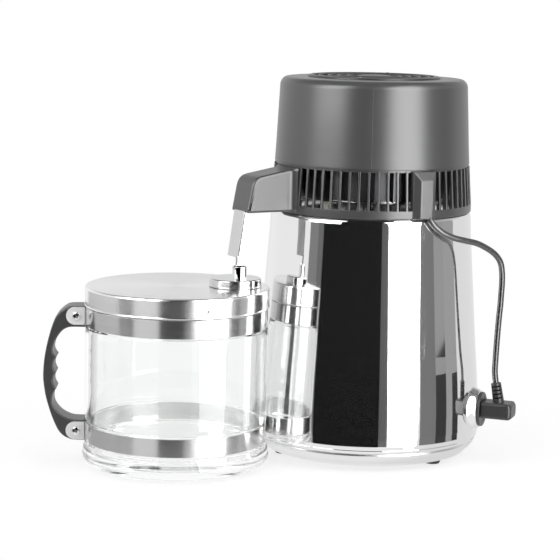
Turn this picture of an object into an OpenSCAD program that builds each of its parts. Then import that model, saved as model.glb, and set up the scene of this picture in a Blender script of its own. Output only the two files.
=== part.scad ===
// Countertop water distiller: boiler, lift-off condenser head with a fan, fan lead, and a glass jug
// under the drip spout. Millimetres, Z up, origin on the table under the boiler's centre, arm toward -X.

/* [Boiler] */
// Radius of the boiler shell at its widest, near the table
shell_r = 108; // [106:0.5:109]
// Radius of the boiler shell at its top edge
shell_top_r = 95; // [93:0.5:96]
// Inner radius of the boiling chamber
chamber_r = 87.2; // [84:0.2:88]
// Height of the boiling chamber's floor above the table
chamber_low = 48; // [44:1:60]
// Diameter of each rubber foot
foot_d = 15; // [12:0.5:18]

/* [Head] */
// Number of ribs around the vent ring
rib_count = 66; // [36:1:72]
// Width of the gap between two ribs
slot_w = 6.9; // [5:0.1:7.2]
// Radius of the opening in the dome's top
grille_r = 60; // [50:1:66]
// Number of spokes in the top grille
spoke_count = 12; // [6:1:18]
// Number of fan blades
blade_count = 7; // [4:1:9]
// Width of the spout arm
arm_w = 32; // [28:1:36]
// Number of cooling fins around the condenser coil
fin_count = 30; // [12:1:40]

/* [Condenser coil] */
// Radius of the coil to the tube's centre
coil_r = 66; // [60:1:66]
// Radius of the coil's tube
coil_tube_r = 3.25; // [2.5:0.25:3.5]
// Height gained by one turn of the coil
coil_pitch = 8; // [7.5:0.1:8.4]

/* [Fan lead] */
// Radius of the fan's lead
lead_r = 2.9; // [2.2:0.1:2.9]

/* [Jug] */
// Outer radius of the jug's glass wall
glass_r = 84.5; // [84:0.1:84.8]
// Inner radius of the jug
glass_in_r = 79.4; // [76:0.2:80]
// Width of the jug's handle
handle_w = 27; // [20:1:30]
// Direction of the jug's handle
handle_az = 151; // [140:1:165]

/* [Filter cap] */
// Radius of the filter cap
cap_r = 24.1; // [22.5:0.1:26]
// Outer radius of the cap's open tube
knob_r = 6.7; // [6.2:0.1:7.2]

/* [Hidden] */
$fn = 64;

// Gap kept between two bodies that move apart.
gap = 0.4;

// Shell and chamber
shell_t = 1.2;
shell_low = 17.8;
rim_top = 232.9;
chamber_t = 0.8;
chamber_out_r = chamber_r + chamber_t;
floor_t = 1.2;
plate_r = 80;
plate_t = 4;
plate_low = chamber_low - plate_t;
wall_low = chamber_low + floor_t + 1.6;
pan_floor = 7.4;
pan_t = 2;
foot_orbit = 83;
foot_az = [-72, 48, 168];
stud_orbit = 40;

// Power inlets on the shell, measured outward from the boiler's axis
inlet_z = 49;
fan_az = -50;
mains_az = 90;
boss_in = 101;
boss_face = 114;
boss_r1 = 23.3;
boss_r2 = 17.4;
boss_t = 1.2;
flange_t = 2.5;
flange_face = boss_face + flange_t;
socket_back = 95;
socket_r = 13;
mains_r = 16;
pin_gap = 7;

// Reset button
reset_az = 118;
reset_z = 46;
reset_r = 5;
reset_face = 111.5;

// Head
ring_low = 233.4;
ring_r1 = 94.9;
ring_r2 = 92.1;
ring_top = 278;
ring_t = 2.4;
slot_low = 241;
slot_high = 275.5;
rib_pitch = 360 / rib_count;
rib_phase = -91.1;
arm_az = 180;
box_az = -91.6;
dome_low = 278;
dome_corner = 14;
dome_top = 357.6;
dome_t = 2.5;
arm_low = 235.5;
arm_t = 2.2;
arm_fillet = 7;
spigot_depth = 14;
seal_out = 91;
seal_in = 88;

// Fan
motor_r = 19;
motor_low = 316;
shaft_r = 2;
fan_low = 342;
blade_tip = 56;
hub_r = 20;

// Coil
coil_low = 241.3;
coil_turns = 6.3333;
coil_high = coil_low + coil_turns * coil_pitch;
coil_steps = 24;
coil_sides = 8;

// Drip spout
spout_lean = 8.5;
spout_w = 20;
spout_t = 0.9;
spout_flange = 3.8;
spout_len = 40.6;
tongue_x = -149.6;
tongue_low = 187.3;
tongue_w = 2.6;

// Jug
jug_x = -191.6;
jug_y = 26.5;
rim_z = 147.6;
glass_floor = 12.4;
glass_low = 14.2;
band_t = 0.95;
neck_r = 82.9;
band_r = neck_r + band_t;
band_h = 16.5;
band_z = [23.2, 130.4];
tab_t = 1.2;
tab_in = 82.2;
tab_out = 101.2;
bolt_u = 91.5;
lid_low = 148;
lid_r = 84.9;
lid_top = 166.4;
lid_t = 1.2;
skirt_r = 78.2;

// Filter cap, placed from the jug's lid
cap_x = -144.7;
cap_y = 1.6;
cap_low = lid_top + gap;
cap_top = 174.5;
knob_x = -146.4;
knob_y = -9.2;
knob_top = 186.6;
knob_bore = knob_r - 1;
basket_r = 20.5;
basket_t = 1;
basket_floor_t = 1.6;
basket_low = lid_top - 40;

// Sub-part names, one for each if at the end of the file.

// Colours
steel = [0.78, 0.79, 0.8];
bright = [0.88, 0.89, 0.9];
black = [0.09, 0.09, 0.1];
grey = [0.2, 0.2, 0.22];
brass = [0.8, 0.66, 0.35];
glassy = [0.85, 0.92, 0.93, 0.45];

// Local frame whose Z points outward at an azimuth, with X down and Y along the shell.
module outward(az, z) {
    rotate([0, 0, az])
        translate([0, 0, z])
            rotate([0, 90, 0])
                children();
}

// Flat plate outline with rounded corners, centred.
module rounded(w, h, r) {
    square([w - 2 * r, h], center = true);
    square([w, h - 2 * r], center = true);
    for (sx = [-1, 1], sy = [-1, 1])
        translate([sx * (w / 2 - r), sy * (h / 2 - r)])
            circle(r);
}

module tube_wall(r_out, r_in, z1, z2) {
    translate([0, 0, z1])
        difference() {
            cylinder(h = z2 - z1, r = r_out);
            translate([0, 0, -1])
                cylinder(h = z2 - z1 + 2, r = r_in);
        }
}

// Smooth curve through hand-placed points.
function between(a, b, c, d, t) =
    0.5 * (2 * b + (c - a) * t + (2 * a - 5 * b + 4 * c - d) * t * t + (3 * b - 3 * c + d - a) * t * t * t);
function smooth(p, steps) = [
    for (i = [0 : len(p) - 2], k = [0 : steps - 1])
        between(p[max(i - 1, 0)], p[i], p[i + 1], p[min(i + 2, len(p) - 1)], k / steps),
    p[len(p) - 1]
];
function unit(v) = v / norm(v);
function heading(p, i) = unit(p[min(i + 1, len(p) - 1)] - p[max(i - 1, 0)]);
function squared(n, t) = unit(n - (n * t) * t);

// Closed round tube swept along a list of points, with flat ends.
module swept_tube(p, r, sides, side_dir) {
    count = len(p);
    sideways = [
        for (i = 0, n = squared(side_dir, heading(p, 0)); i < count;
             i = i + 1, n = i < count ? squared(n, heading(p, i)) : n) n
    ];
    rings = [
        for (i = [0 : count - 1], k = [0 : sides - 1])
            let (a = 360 * k / sides, n = sideways[i], b = cross(heading(p, i), n))
                p[i] + r * (cos(a) * n + sin(a) * b)
    ];
    walls = [
        for (i = [0 : count - 2], k = [0 : sides - 1])
            let (j = (k + 1) % sides)
                [i * sides + k, (i + 1) * sides + k, (i + 1) * sides + j, i * sides + j]
    ];
    first_end = [[for (k = [0 : sides - 1]) k]];
    last_end = [[for (k = [sides - 1 : -1 : 0]) (count - 1) * sides + k]];
    polyhedron(points = rings, faces = concat(walls, first_end, last_end), convexity = 8);
}

// Tapered cup pressed outward from the shell around a power inlet.
module boss_cone(grow) {
    translate([0, 0, boss_in])
        cylinder(h = boss_face - boss_in, r1 = boss_r1 + grow, r2 = boss_r2 + grow);
}

module inlet_boss(az, hole_r) {
    outward(az, inlet_z)
        difference() {
            boss_cone(0);
            translate([0, 0, boss_in - boss_t])
                cylinder(h = boss_face - boss_in, r1 = boss_r1 - boss_t, r2 = boss_r2 - boss_t);
            translate([0, 0, boss_in])
                cylinder(h = boss_face, r = hole_r + 0.05);
        }
}

module outer_shell() {
    color(steel)
        difference() {
            rotate_extrude()
                polygon([
                    [104, shell_low], [105.4, shell_low], [107.2, 19.4], [shell_r - 0.1, 24], [shell_r, 32],
                    [107.6, 48], [106.9, 62], [106, 76], [105, 89.5], [103.6, 105],
                    [95.7, 213], [shell_top_r, 228], [94.7, 230.4], [93.6, 232.2], [92, rim_top],
                    [92, rim_top - 1], [93.3, 229.8], [shell_top_r - shell_t, 227.5],
                    [94.5, 213], [102.4, 105], [103.8, 89.5], [104.8, 76], [105.7, 62],
                    [106.4, 48], [106.8, 32], [106.6, 24.4], [106.1, 20.2], [105.2, 19], [104, 19]
                ]);
            for (az = [fan_az, mains_az])
                outward(az, inlet_z)
                    boss_cone(0.02);
            outward(reset_az, reset_z)
                translate([0, 0, 90])
                    cylinder(h = 30, r = 8.02);
        }
}

// Chamber wall with the flange that rests under the shell's rolled rim.
module boiling_chamber() {
    color(bright)
        rotate_extrude()
            polygon([
                [chamber_r, wall_low], [chamber_out_r, wall_low], [chamber_out_r, rim_top - 1.1],
                [91.95, rim_top - 1.1], [91.95, rim_top - 0.1], [chamber_r, rim_top - 0.1]
            ]);
}

// Floor of the chamber with its pressed corner, up to where the wall stands.
module chamber_floor() {
    color(bright)
        rotate_extrude()
            polygon([
                [0, chamber_low], [chamber_out_r - 2, chamber_low],
                [chamber_out_r - 0.6, chamber_low + 0.8], [chamber_out_r, wall_low], [chamber_r, wall_low],
                [chamber_r - 0.6, chamber_low + floor_t + 0.6], [chamber_r - 2, chamber_low + floor_t],
                [0, chamber_low + floor_t]
            ]);
}

module heater_plate() {
    color(grey)
        translate([0, 0, plate_low])
            cylinder(h = plate_t, r = plate_r);
}

module heating_element() {
    tube = 4.2;
    orbit = 62;
    color(steel) {
        rotate([0, 0, 25])
            rotate_extrude(angle = 310)
                translate([orbit, plate_low - tube - 0.6]) {
                    circle(tube);
                    translate([-tube + 0.6, 0])
                        square([2 * tube - 1.2, tube + 0.6]);
                }
        for (a = [28, -28])
            rotate([0, 0, a])
                translate([orbit, 0, plate_low - 20])
                    cylinder(h = 16, r = 2.6);
    }
}

module thermostats() {
    color(brass)
        for (s = [-1, 1])
            translate([0, 24 * s, plate_low - 9]) {
                cylinder(h = 9, r = 8.5);
                translate([-12, -2.5, 2])
                    cube([24, 5, 2.4]);
            }
}

module terminal_block() {
    color([0.82, 0.8, 0.72])
        translate([18, -9, pan_floor + pan_t])
            difference() {
                cube([40, 18, 14]);
                for (x = [6 : 9.3 : 36])
                    translate([x, 9, 6])
                        cylinder(h = 10, r = 2.4);
            }
}

module base_pan() {
    color(steel)
        difference() {
            rotate_extrude()
                polygon([
                    [0, pan_floor], [94.5, pan_floor], [94.5, 5.2], [96.5, 5.2], [97.6, 7.6],
                    [101.8, 10.6], [104.4, 13.6], [105.4, 16.2], [105, shell_low], [104, shell_low],
                    [104, 21], [102, 21], [102, 17], [99, 12.6], [95, pan_floor + pan_t],
                    [0, pan_floor + pan_t]
                ]);
            for (a = [0 : 30 : 330])
                rotate([0, 0, a + 15])
                    translate([52, -2, 5])
                        cube([18, 4, 8]);
        }
}

module base_studs() {
    color(steel)
        for (a = [90, 210, 330])
            rotate([0, 0, a])
                translate([stud_orbit, 0, 0]) {
                    translate([0, 0, pan_floor - 3.4])
                        cylinder(h = plate_low - pan_floor + 3.4, r = 2.5);
                    translate([0, 0, pan_floor - 3.2])
                        cylinder(h = 3.2, r = 4.6, $fn = 6);
                    translate([0, 0, pan_floor + pan_t])
                        cylinder(h = 3.2, r = 4.6, $fn = 6);
                }
}

module rubber_feet() {
    color([0.12, 0.12, 0.12])
        for (a = foot_az)
            rotate([0, 0, a])
                translate([foot_orbit, 0, 0])
                    difference() {
                        union() {
                            cylinder(h = 1.4, r1 = foot_d / 2 - 0.9, r2 = foot_d / 2);
                            translate([0, 0, 1.4])
                                cylinder(h = pan_floor - 1.4, r = foot_d / 2);
                        }
                        translate([0, 0, -1])
                            cylinder(h = 3.6, r = 4.4);
                        cylinder(h = 20, r = 2.1);
                    }
}

module foot_screws() {
    color(steel)
        for (a = foot_az)
            rotate([0, 0, a])
                translate([foot_orbit, 0, 0])
                    difference() {
                        union() {
                            translate([0, 0, 0.9])
                                cylinder(h = 1.7, r = 3.8);
                            translate([0, 0, 2.6])
                                cylinder(h = 10, r = 2);
                        }
                        translate([-3, -0.5, 0])
                            cube([6, 1, 1.8]);
                    }
}

module fan_boss() {
    color(bright)
        inlet_boss(fan_az, socket_r);
}

module mains_boss() {
    color(bright)
        inlet_boss(mains_az, mains_r);
}

module fan_socket() {
    color(black)
        outward(fan_az, inlet_z)
            difference() {
                union() {
                    translate([0, 0, boss_face])
                        cylinder(h = flange_t, r = 16.3);
                    translate([0, 0, socket_back])
                        cylinder(h = boss_face - socket_back, r = socket_r);
                }
                translate([0, 0, boss_face - 11])
                    linear_extrude(20)
                        rounded(9.7, 17.2, 1.5);
            }
}

module socket_pins() {
    color(brass)
        outward(fan_az, inlet_z)
            for (s = [-1, 1])
                translate([0, s * pin_gap / 2, socket_back + 4])
                    cylinder(h = 15, r = 1);
}

module mains_inlet() {
    color(black)
        outward(mains_az, inlet_z)
            difference() {
                union() {
                    translate([0, 0, boss_face])
                        cylinder(h = flange_t, r = 17.2);
                    translate([0, 0, socket_back])
                        cylinder(h = boss_face - socket_back, r = mains_r);
                }
                translate([0, 0, boss_face - 14])
                    linear_extrude(20)
                        rounded(16, 24, 3);
            }
}

module mains_pins() {
    color(brass)
        outward(mains_az, inlet_z)
            for (p = [[-3, -7], [-3, 7], [3.5, 0]])
                translate([p[0] - 1, p[1] - 2, socket_back + 2])
                    cube([2, 4, 12.5]);
}

module reset_bezel() {
    color(black)
        outward(reset_az, reset_z)
            difference() {
                union() {
                    translate([0, 0, 97])
                        cylinder(h = 12.5, r = 8);
                    translate([0, 0, 108])
                        cylinder(h = 1.5, r = 9.5);
                }
                translate([0, 0, 99])
                    cylinder(h = 20, r = reset_r + gap);
            }
}

module reset_button() {
    color([0.7, 0.08, 0.07])
        outward(reset_az, reset_z) {
            translate([0, 0, 102])
                cylinder(h = reset_face - 102 - 1, r = reset_r);
            translate([0, 0, reset_face - 1])
                cylinder(h = 1, r1 = reset_r, r2 = reset_r - 1);
        }
}

module vent_ring() {
    color(grey)
        difference() {
            rotate_extrude()
                polygon([
                    [ring_r1 - ring_t, ring_low], [ring_r1 - 0.6, ring_low], [ring_r1, ring_low + 0.8],
                    [ring_r1 - 0.1, slot_low - 1], [ring_r2 + 0.3, slot_high + 0.6],
                    [ring_r2 + 0.3, ring_top - 0.8],
                    [ring_r2 - 1, ring_top - 0.8], [ring_r2 - 1, ring_top], [ring_r2 - 1 - ring_t, ring_top],
                    [ring_r2 - ring_t - 0.6, slot_high - 6], [ring_r1 - ring_t - 0.2, slot_low - 1.5]
                ]);
            for (k = [0 : rib_count - 1])
                let (az = rib_phase + rib_pitch * (k + 0.5), turned = (az + 540) % 360 - 180)
                    if (abs(abs(turned) - arm_az) > 12.5 && abs(turned - box_az) > 7)
                        rotate([0, 0, az])
                            translate([84, -slot_w / 2, slot_low])
                                cube([14, slot_w, slot_high - slot_low]);
            translate([-98, -9, 237])
                cube([12, 18, 9.5]);
            rotate([0, 0, box_az])
                translate([84, 2, 252])
                    cube([14, 6, 10]);
            lead_hole();
        }
}

module dome_cover() {
    corner_r = dome_top - dome_corner;
    color(grey)
        difference() {
            rotate_extrude()
                difference() {
                    union() {
                        polygon([
                            [0, dome_low], [92.1, dome_low], [91.3, 291], [90.5, 307], [89.8, 322],
                            [88.7, corner_r], [0, corner_r]
                        ]);
                        translate([88.7 - dome_corner, corner_r])
                            circle(dome_corner);
                        square([88.7 - dome_corner, dome_top]);
                    }
                    polygon([
                        [-1, 0], [100, 0], [100, dome_low], [92.1 - dome_t, dome_low],
                        [91.3 - dome_t, 291], [90.5 - dome_t, 307], [89.8 - dome_t, 322],
                        [88.7 - dome_t, corner_r], [-1, corner_r]
                    ]);
                    translate([88.7 - dome_corner, corner_r])
                        circle(dome_corner - dome_t);
                    translate([-1, 0])
                        square([89.7 - dome_corner, dome_top - dome_t]);
                    translate([-1, 0])
                        square([grille_r + 1, dome_top + 1]);
                }
        }
}

module top_grille() {
    wire = 2;
    color(black) {
        tube_wall(grille_r - 0.05, grille_r - 3, dome_top - 3, dome_top + 2);
        tube_wall(grille_r + 2.5, grille_r - 3, dome_top, dome_top + 2);
        for (r = [24, 33, 42, 51])
            tube_wall(r + wire, r, dome_top, dome_top + 2);
        translate([0, 0, dome_top])
            cylinder(h = 2.2, r = 16);
        for (k = [0 : spoke_count - 1])
            rotate([0, 0, 360 * k / spoke_count])
                translate([15, -wire / 2, dome_top - 1.4])
                    cube([grille_r - 17, wire, 2.6]);
    }
}

module grille_screws() {
    color(steel)
        for (a = [45 : 90 : 315])
            rotate([0, 0, a])
                translate([grille_r - 1.2, 0, dome_top + 2])
                    difference() {
                        cylinder(h = 0.4, r1 = 1.6, r2 = 1.3);
                        translate([-0.25, -3, 0.15])
                            cube([0.5, 6, 1]);
                    }
}

module head_plate() {
    color(steel)
        difference() {
            translate([0, 0, ring_low])
                cylinder(h = 1.8, r = ring_r1 - ring_t - 0.1);
            tube_wall(seal_out, seal_in, ring_low - 1, ring_low + 0.8);
            translate([0, 0, ring_low - 5])
                cylinder(h = 10, r = coil_tube_r + 0.1);
        }
}

// Collar under the head plate that drops into the boiling chamber.
module head_spigot() {
    spigot_r = chamber_r - gap;
    color(steel)
        tube_wall(spigot_r, spigot_r - 1.2, ring_low - spigot_depth, ring_low);
}

module head_seal() {
    color([0.75, 0.75, 0.72])
        tube_wall(seal_out, seal_in, ring_low - 0.1, ring_low + 0.8);
}

// Condenser tube: up from the head plate, down the coil, then out through the arm to the spout.
steam_route = [
    [0, 0, 234], [0, 0, 262], [1, -2, 278], [5, -10, coil_high - 3], [18, -26, coil_high + 0.3],
    [38, -36, coil_high + 0.5], [55, -31, coil_high + 0.5], [63.6, -16, coil_high + 0.3]
];
drip_route = [
    [-51, 45, coil_low], [-65, 30, coil_low], [-76, 14, coil_low], [-88, 3.4, coil_low],
    [-104, 0, coil_low], [-126, 0, coil_low], [-133.6, 0, 240.2], [-136, 0, 236.4]
];
coil_turning = [
    for (k = [0 : round(coil_turns * coil_steps)])
        let (a = 360 * k / coil_steps)
            [coil_r * cos(a), coil_r * sin(a), coil_high - coil_pitch * a / 360]
];
coil_last = coil_turning[len(coil_turning) - 1];
coil_path = concat(
    smooth(concat(steam_route, [coil_turning[0]]), 4),
    [for (i = [1 : len(coil_turning) - 2]) coil_turning[i]],
    smooth(concat([coil_last], drip_route), 4)
);
least_gap = min([
    for (i = [0 : len(coil_path) - 1], j = [i + 12 : 1 : len(coil_path) - 1])
        norm(coil_path[i] - coil_path[j])
]) - 2 * coil_tube_r;
echo(coil_least_gap = least_gap);

module condenser_coil() {
    color(bright)
        swept_tube(coil_path, coil_tube_r, coil_sides, [1, 0, 0]);
}

module coil_posts() {
    reach = coil_r - coil_tube_r;
    color([0.85, 0.85, 0.82])
        for (a = [75, 195, 290])
            rotate([0, 0, a])
                translate([reach - 3.4, -3, ring_low + 1.8])
                    cube([3.4, 6, coil_high - ring_low + 3]);
}

module condenser_fins() {
    sleeve = coil_r + coil_tube_r + 0.05;
    color([0.8, 0.81, 0.82])
        translate([0, 0, coil_low + 6])
            linear_extrude(coil_high - coil_low - 4) {
                difference() {
                    circle(sleeve + 0.6);
                    circle(sleeve);
                }
                for (k = [0 : fin_count - 1])
                    rotate(360 * k / fin_count)
                        translate([sleeve + 0.3, -0.4])
                            square([13, 0.8]);
            }
}

module fan_motor() {
    color(grey)
        difference() {
            union() {
                translate([0, 0, motor_low])
                    cylinder(h = 20, r = motor_r);
                translate([0, 0, motor_low + 20])
                    cylinder(h = 2.4, r = 7);
            }
            translate([0, 0, motor_low + 6])
                cylinder(h = 20, r = shaft_r + 0.05);
        }
}

module motor_bracket() {
    color(steel)
        difference() {
            union() {
                translate([0, 0, motor_low - 2])
                    cylinder(h = 2, r = 24);
                for (a = [0 : 120 : 240])
                    rotate([0, 0, a])
                        translate([10, -6, motor_low - 2])
                            cube([76.6, 12, 2]);
            }
            translate([0, 0, motor_low - 5])
                cylinder(h = 10, r = 6);
        }
}

module fan_shaft() {
    color(steel)
        translate([0, 0, motor_low + 6.4])
            cylinder(h = 28, r = shaft_r);
}

module fan_rotor() {
    color(black)
        difference() {
            union() {
                translate([0, 0, fan_low - 2])
                    cylinder(h = 10.5, r = hub_r);
                for (k = [0 : blade_count - 1])
                    rotate([0, 0, 360 * k / blade_count])
                        translate([hub_r - 3, 0, fan_low + 3.4])
                            rotate([28, 0, 0])
                                translate([0, -8, -0.8])
                                    cube([blade_tip - hub_r + 3, 16, 1.6]);
            }
            translate([0, 0, fan_low - 3])
                cylinder(h = 20, r = shaft_r + 0.02);
            tube_wall(16, 8, fan_low - 3, fan_low + 6);
        }
}

// Space taken by the vent ring, a hair larger, cut out of what is fixed to its side.
module ring_outside() {
    rotate_extrude()
        polygon([
            [0, ring_low - 5], [ring_r1 + 0.02, ring_low - 5], [ring_r1 + 0.02, ring_low + 0.8],
            [ring_r1 - 0.08, slot_low - 1], [ring_r2 + 0.32, slot_high + 0.6], [ring_r2 + 0.32, dome_low],
            [0, dome_low]
        ]);
}

// Slot for the lead and its gland, through the cable box's floor and the ring's edge.
module lead_hole() {
    half = lead_r + 0.75;
    translate([lead_start[0] - half, lead_start[1] - half, ring_low - 1])
        cube([2 * half, 2 * half, 5]);
}

// Side outline of the arm, X outward from the boiler's axis.
module arm_side() {
    polygon([
        [-85, arm_low], [-142.6, arm_low], [-142, 239], [-137.9, 260], [-136.8, 263],
        [-134.6, 266.2], [-131.6, 268.2], [-127.5, 269.4], [-97.5, 274.6], [-92.6, 276.2], [-85, 276.4]
    ]);
}

// Plan of the arm, with a concave fillet on each side where it meets the ring.
module arm_plan() {
    half = arm_w / 2;
    mid_y = half + arm_fillet;
    mid_x = -sqrt(pow(ring_r1 + arm_fillet, 2) - pow(mid_y, 2));
    turn = atan2(mid_y, -mid_x);
    arc = [
        for (k = [0 : 6])
            let (a = -90 + (90 - turn) * k / 6)
                [mid_x + arm_fillet * cos(a), mid_y + arm_fillet * sin(a)]
    ];
    edge = concat([[-150, half]], arc, [[-85, arc[6][1]]]);
    polygon(concat(edge, [for (k = [len(edge) - 1 : -1 : 0]) [edge[k][0], -edge[k][1]]]));
}

module spout_arm() {
    color(grey)
        difference() {
            intersection() {
                translate([0, arm_w, 0])
                    rotate([90, 0, 0])
                        linear_extrude(2 * arm_w)
                            arm_side();
                translate([0, 0, arm_low - 1])
                    linear_extrude(45)
                        arm_plan();
            }
            ring_outside();
            translate([0, arm_w / 2 - arm_t, 0])
                rotate([90, 0, 0])
                    linear_extrude(arm_w - 2 * arm_t)
                        polygon([
                            [-80, arm_low + arm_t], [-140, arm_low + arm_t], [-135.8, 259.6],
                            [-133.6, 263.4], [-127.6, 267.1], [-97, 272.3], [-80, 272.6]
                        ]);
            translate([-140.2, -7, arm_low - 1])
                cube([12, 14, 5]);
        }
}

// Frame of the leaning drip spout: Z up along the plate from where it leaves the arm.
module at_spout() {
    translate([-142.6, 0, 234.6])
        rotate([0, spout_lean, 0])
            children();
}

module drip_spout() {
    color(bright)
        at_spout() {
            translate([0, -spout_w / 2, -spout_len])
                cube([spout_t, spout_w, spout_len + 6]);
            translate([0, -spout_w / 2, -spout_len])
                cube([spout_flange, spout_t, spout_len - 0.1]);
        }
}

// Narrow tongue below the spout's flange that leads the drops into the cap's tube.
module spout_tongue() {
    color(bright)
        difference() {
            translate([tongue_x, -spout_w / 2, tongue_low])
                difference() {
                    cube([6, tongue_w, 9.4]);
                    translate([spout_t, spout_t, -1])
                        cube([6, tongue_w, 12]);
                }
            at_spout()
                translate([-10, -20, -spout_len])
                    cube([30, 40, 30]);
        }
}

module cable_box() {
    low = ring_low + 0.2;
    color(grey)
        difference() {
            rotate([0, 0, box_az])
                difference() {
                    translate([0, 0, low])
                        linear_extrude(277 - low)
                            polygon([[90, -12.2], [94.6, -12], [99.8, -6.6], [99.8, 6.6], [94.6, 12], [90, 12.2]]);
                    translate([99.8, -20, 269])
                        rotate([0, -32, 0])
                            cube([20, 40, 30]);
                    translate([85, -7.6, low + 2])
                        cube([11, 15.4, 27]);
                }
            ring_outside();
            lead_hole();
        }
}

module lead_gland() {
    color(black)
        translate([lead_start[0], lead_start[1], ring_low - 0.8])
            difference() {
                cylinder(h = 3, r = lead_r + 0.7);
                translate([0, 0, -1])
                    cylinder(h = 5, r = lead_r + 0.02);
            }
}

// Fan lead: out of the cable box, over and down beside the boiler, into the plug's relief. Its two
// stretches meet face to face, square to lead_fall.
lead_start = [2.4, -97, 0];
lead_split = [83.4, -100, 160];
lead_fall = [0.02, -0.02, -1];
upper_route = [
    [lead_start[0], lead_start[1], 236], [2.6, -97.7, 232.6], [6, -99.3, 227.7], [14, -100.8, 221.4],
    [26, -101.6, 216], [39, -102, 212.7], [52, -102, 209.6], [63, -101.8, 204.8], [73.4, -101.3, 198.5],
    [80.4, -100.8, 190.6], [83.2, -100.3, 181], [83.8, -100.1, 170], lead_split - lead_fall
];
relief_top = [82.3, -98.2, 75.4];
lower_route = [
    lead_split + lead_fall, [83, -99.9, 150], [82.3, -99.6, 140], [81.6, -99.2, 126], [81.1, -98.8, 112],
    [81, -98.2, 99], [81.2, -97.5, 86], relief_top
];

module lead_upper() {
    color(black)
        swept_tube(concat(smooth(upper_route, 3), [lead_split]), lead_r, 12, [0, 1, 0]);
}

module lead_lower() {
    color(black)
        swept_tube(concat([lead_split], smooth(lower_route, 3)), lead_r, 12, [0, 1, 0]);
}

// Strain relief that rises from the plug and leans back toward the boiler.
module lead_relief() {
    lean = 10;
    d_top = norm([relief_top[0], relief_top[1]]);
    height = relief_top[2] - inlet_z - 5;
    color(black)
        rotate([0, 0, fan_az])
            translate([d_top, 0, relief_top[2]])
                rotate([0, -lean, 0])
                    translate([0, 0, -height])
                        difference() {
                            cylinder(h = height, r1 = 5.4, r2 = 4.7);
                            for (z = [height - 4 : -3.6 : height - 15])
                                translate([0, 0, z]) {
                                    translate([-8, 1.6, 0])
                                        cube([16, 6, 1.6]);
                                    translate([-8, -7.6, 0])
                                        cube([16, 6, 1.6]);
                                }
                        }
}

module lead_plug() {
    face = flange_face + gap;
    body_z = inlet_z + 0.8;
    color(black)
        difference() {
            union() {
                outward(fan_az, body_z) {
                    translate([0, 0, face])
                        linear_extrude(143 - face)
                            rounded(15.4, 23, 3);
                    translate([0, 0, 143])
                        linear_extrude(1.6)
                            rounded(14, 21.4, 3.5);
                    translate([0, 0, 144.6])
                        linear_extrude(1.4)
                            rounded(11.6, 18.6, 4);
                }
                outward(fan_az, inlet_z)
                    translate([0, 0, boss_face - 10.6])
                        linear_extrude(face + 3 - boss_face + 10.6)
                            rounded(8.9, 16.4, 1.4);
            }
            outward(fan_az, inlet_z)
                for (s = [-1, 1])
                    translate([0, s * pin_gap / 2, boss_face - 12])
                        cylinder(h = 14, r = 1.9);
        }
}

module plug_contacts() {
    color(brass)
        outward(fan_az, inlet_z)
            for (s = [-1, 1])
                translate([0, s * pin_gap / 2, boss_face - 10.4])
                    difference() {
                        cylinder(h = 12.4, r = 1.9);
                        translate([0, 0, -1])
                            cylinder(h = 12.4, r = 1.4);
                    }
}

module at_jug() {
    translate([jug_x, jug_y, 0])
        children();
}

// Handle frame: X outward from the jug's axis, Y across the handle.
module at_handle() {
    at_jug()
        rotate([0, 0, handle_az])
            children();
}

module jug_glass() {
    color(glassy)
        at_jug()
            rotate_extrude()
                polygon([
                    [glass_in_r, glass_low], [86.1, glass_low], [85.2, 17.6], [84.4, 21], [neck_r, 22.6],
                    [neck_r, 40.2], [84.2, 41.6], [glass_r, 47], [glass_r, 123], [84.2, 128.6],
                    [neck_r, 130], [neck_r, rim_z], [glass_in_r, rim_z]
                ]);
}

// Thick foot of the glass, up to where the wall stands.
module jug_foot() {
    color(glassy)
        at_jug()
            rotate_extrude()
                polygon([
                    [0, 2.2], [71, 2.2], [74, 0], [78.6, 0], [80.4, 1.2], [83.8, 3.8], [85.8, 6.8],
                    [86.5, 10.4], [86.1, glass_low], [glass_in_r, glass_low],
                    [glass_in_r - 0.6, glass_floor + 0.6], [glass_in_r - 2, glass_floor], [0, glass_floor]
                ]);
}

module steel_band(z) {
    at_jug()
        difference() {
            tube_wall(band_r, neck_r, z, z + band_h);
            rotate([0, 0, handle_az])
                translate([70, -handle_w / 2, z - 1])
                    cube([20, handle_w, band_h + 2]);
        }
}

module upper_band() {
    color(bright)
        steel_band(band_z[1]);
}

module lower_band() {
    color(bright)
        steel_band(band_z[0]);
}

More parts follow.
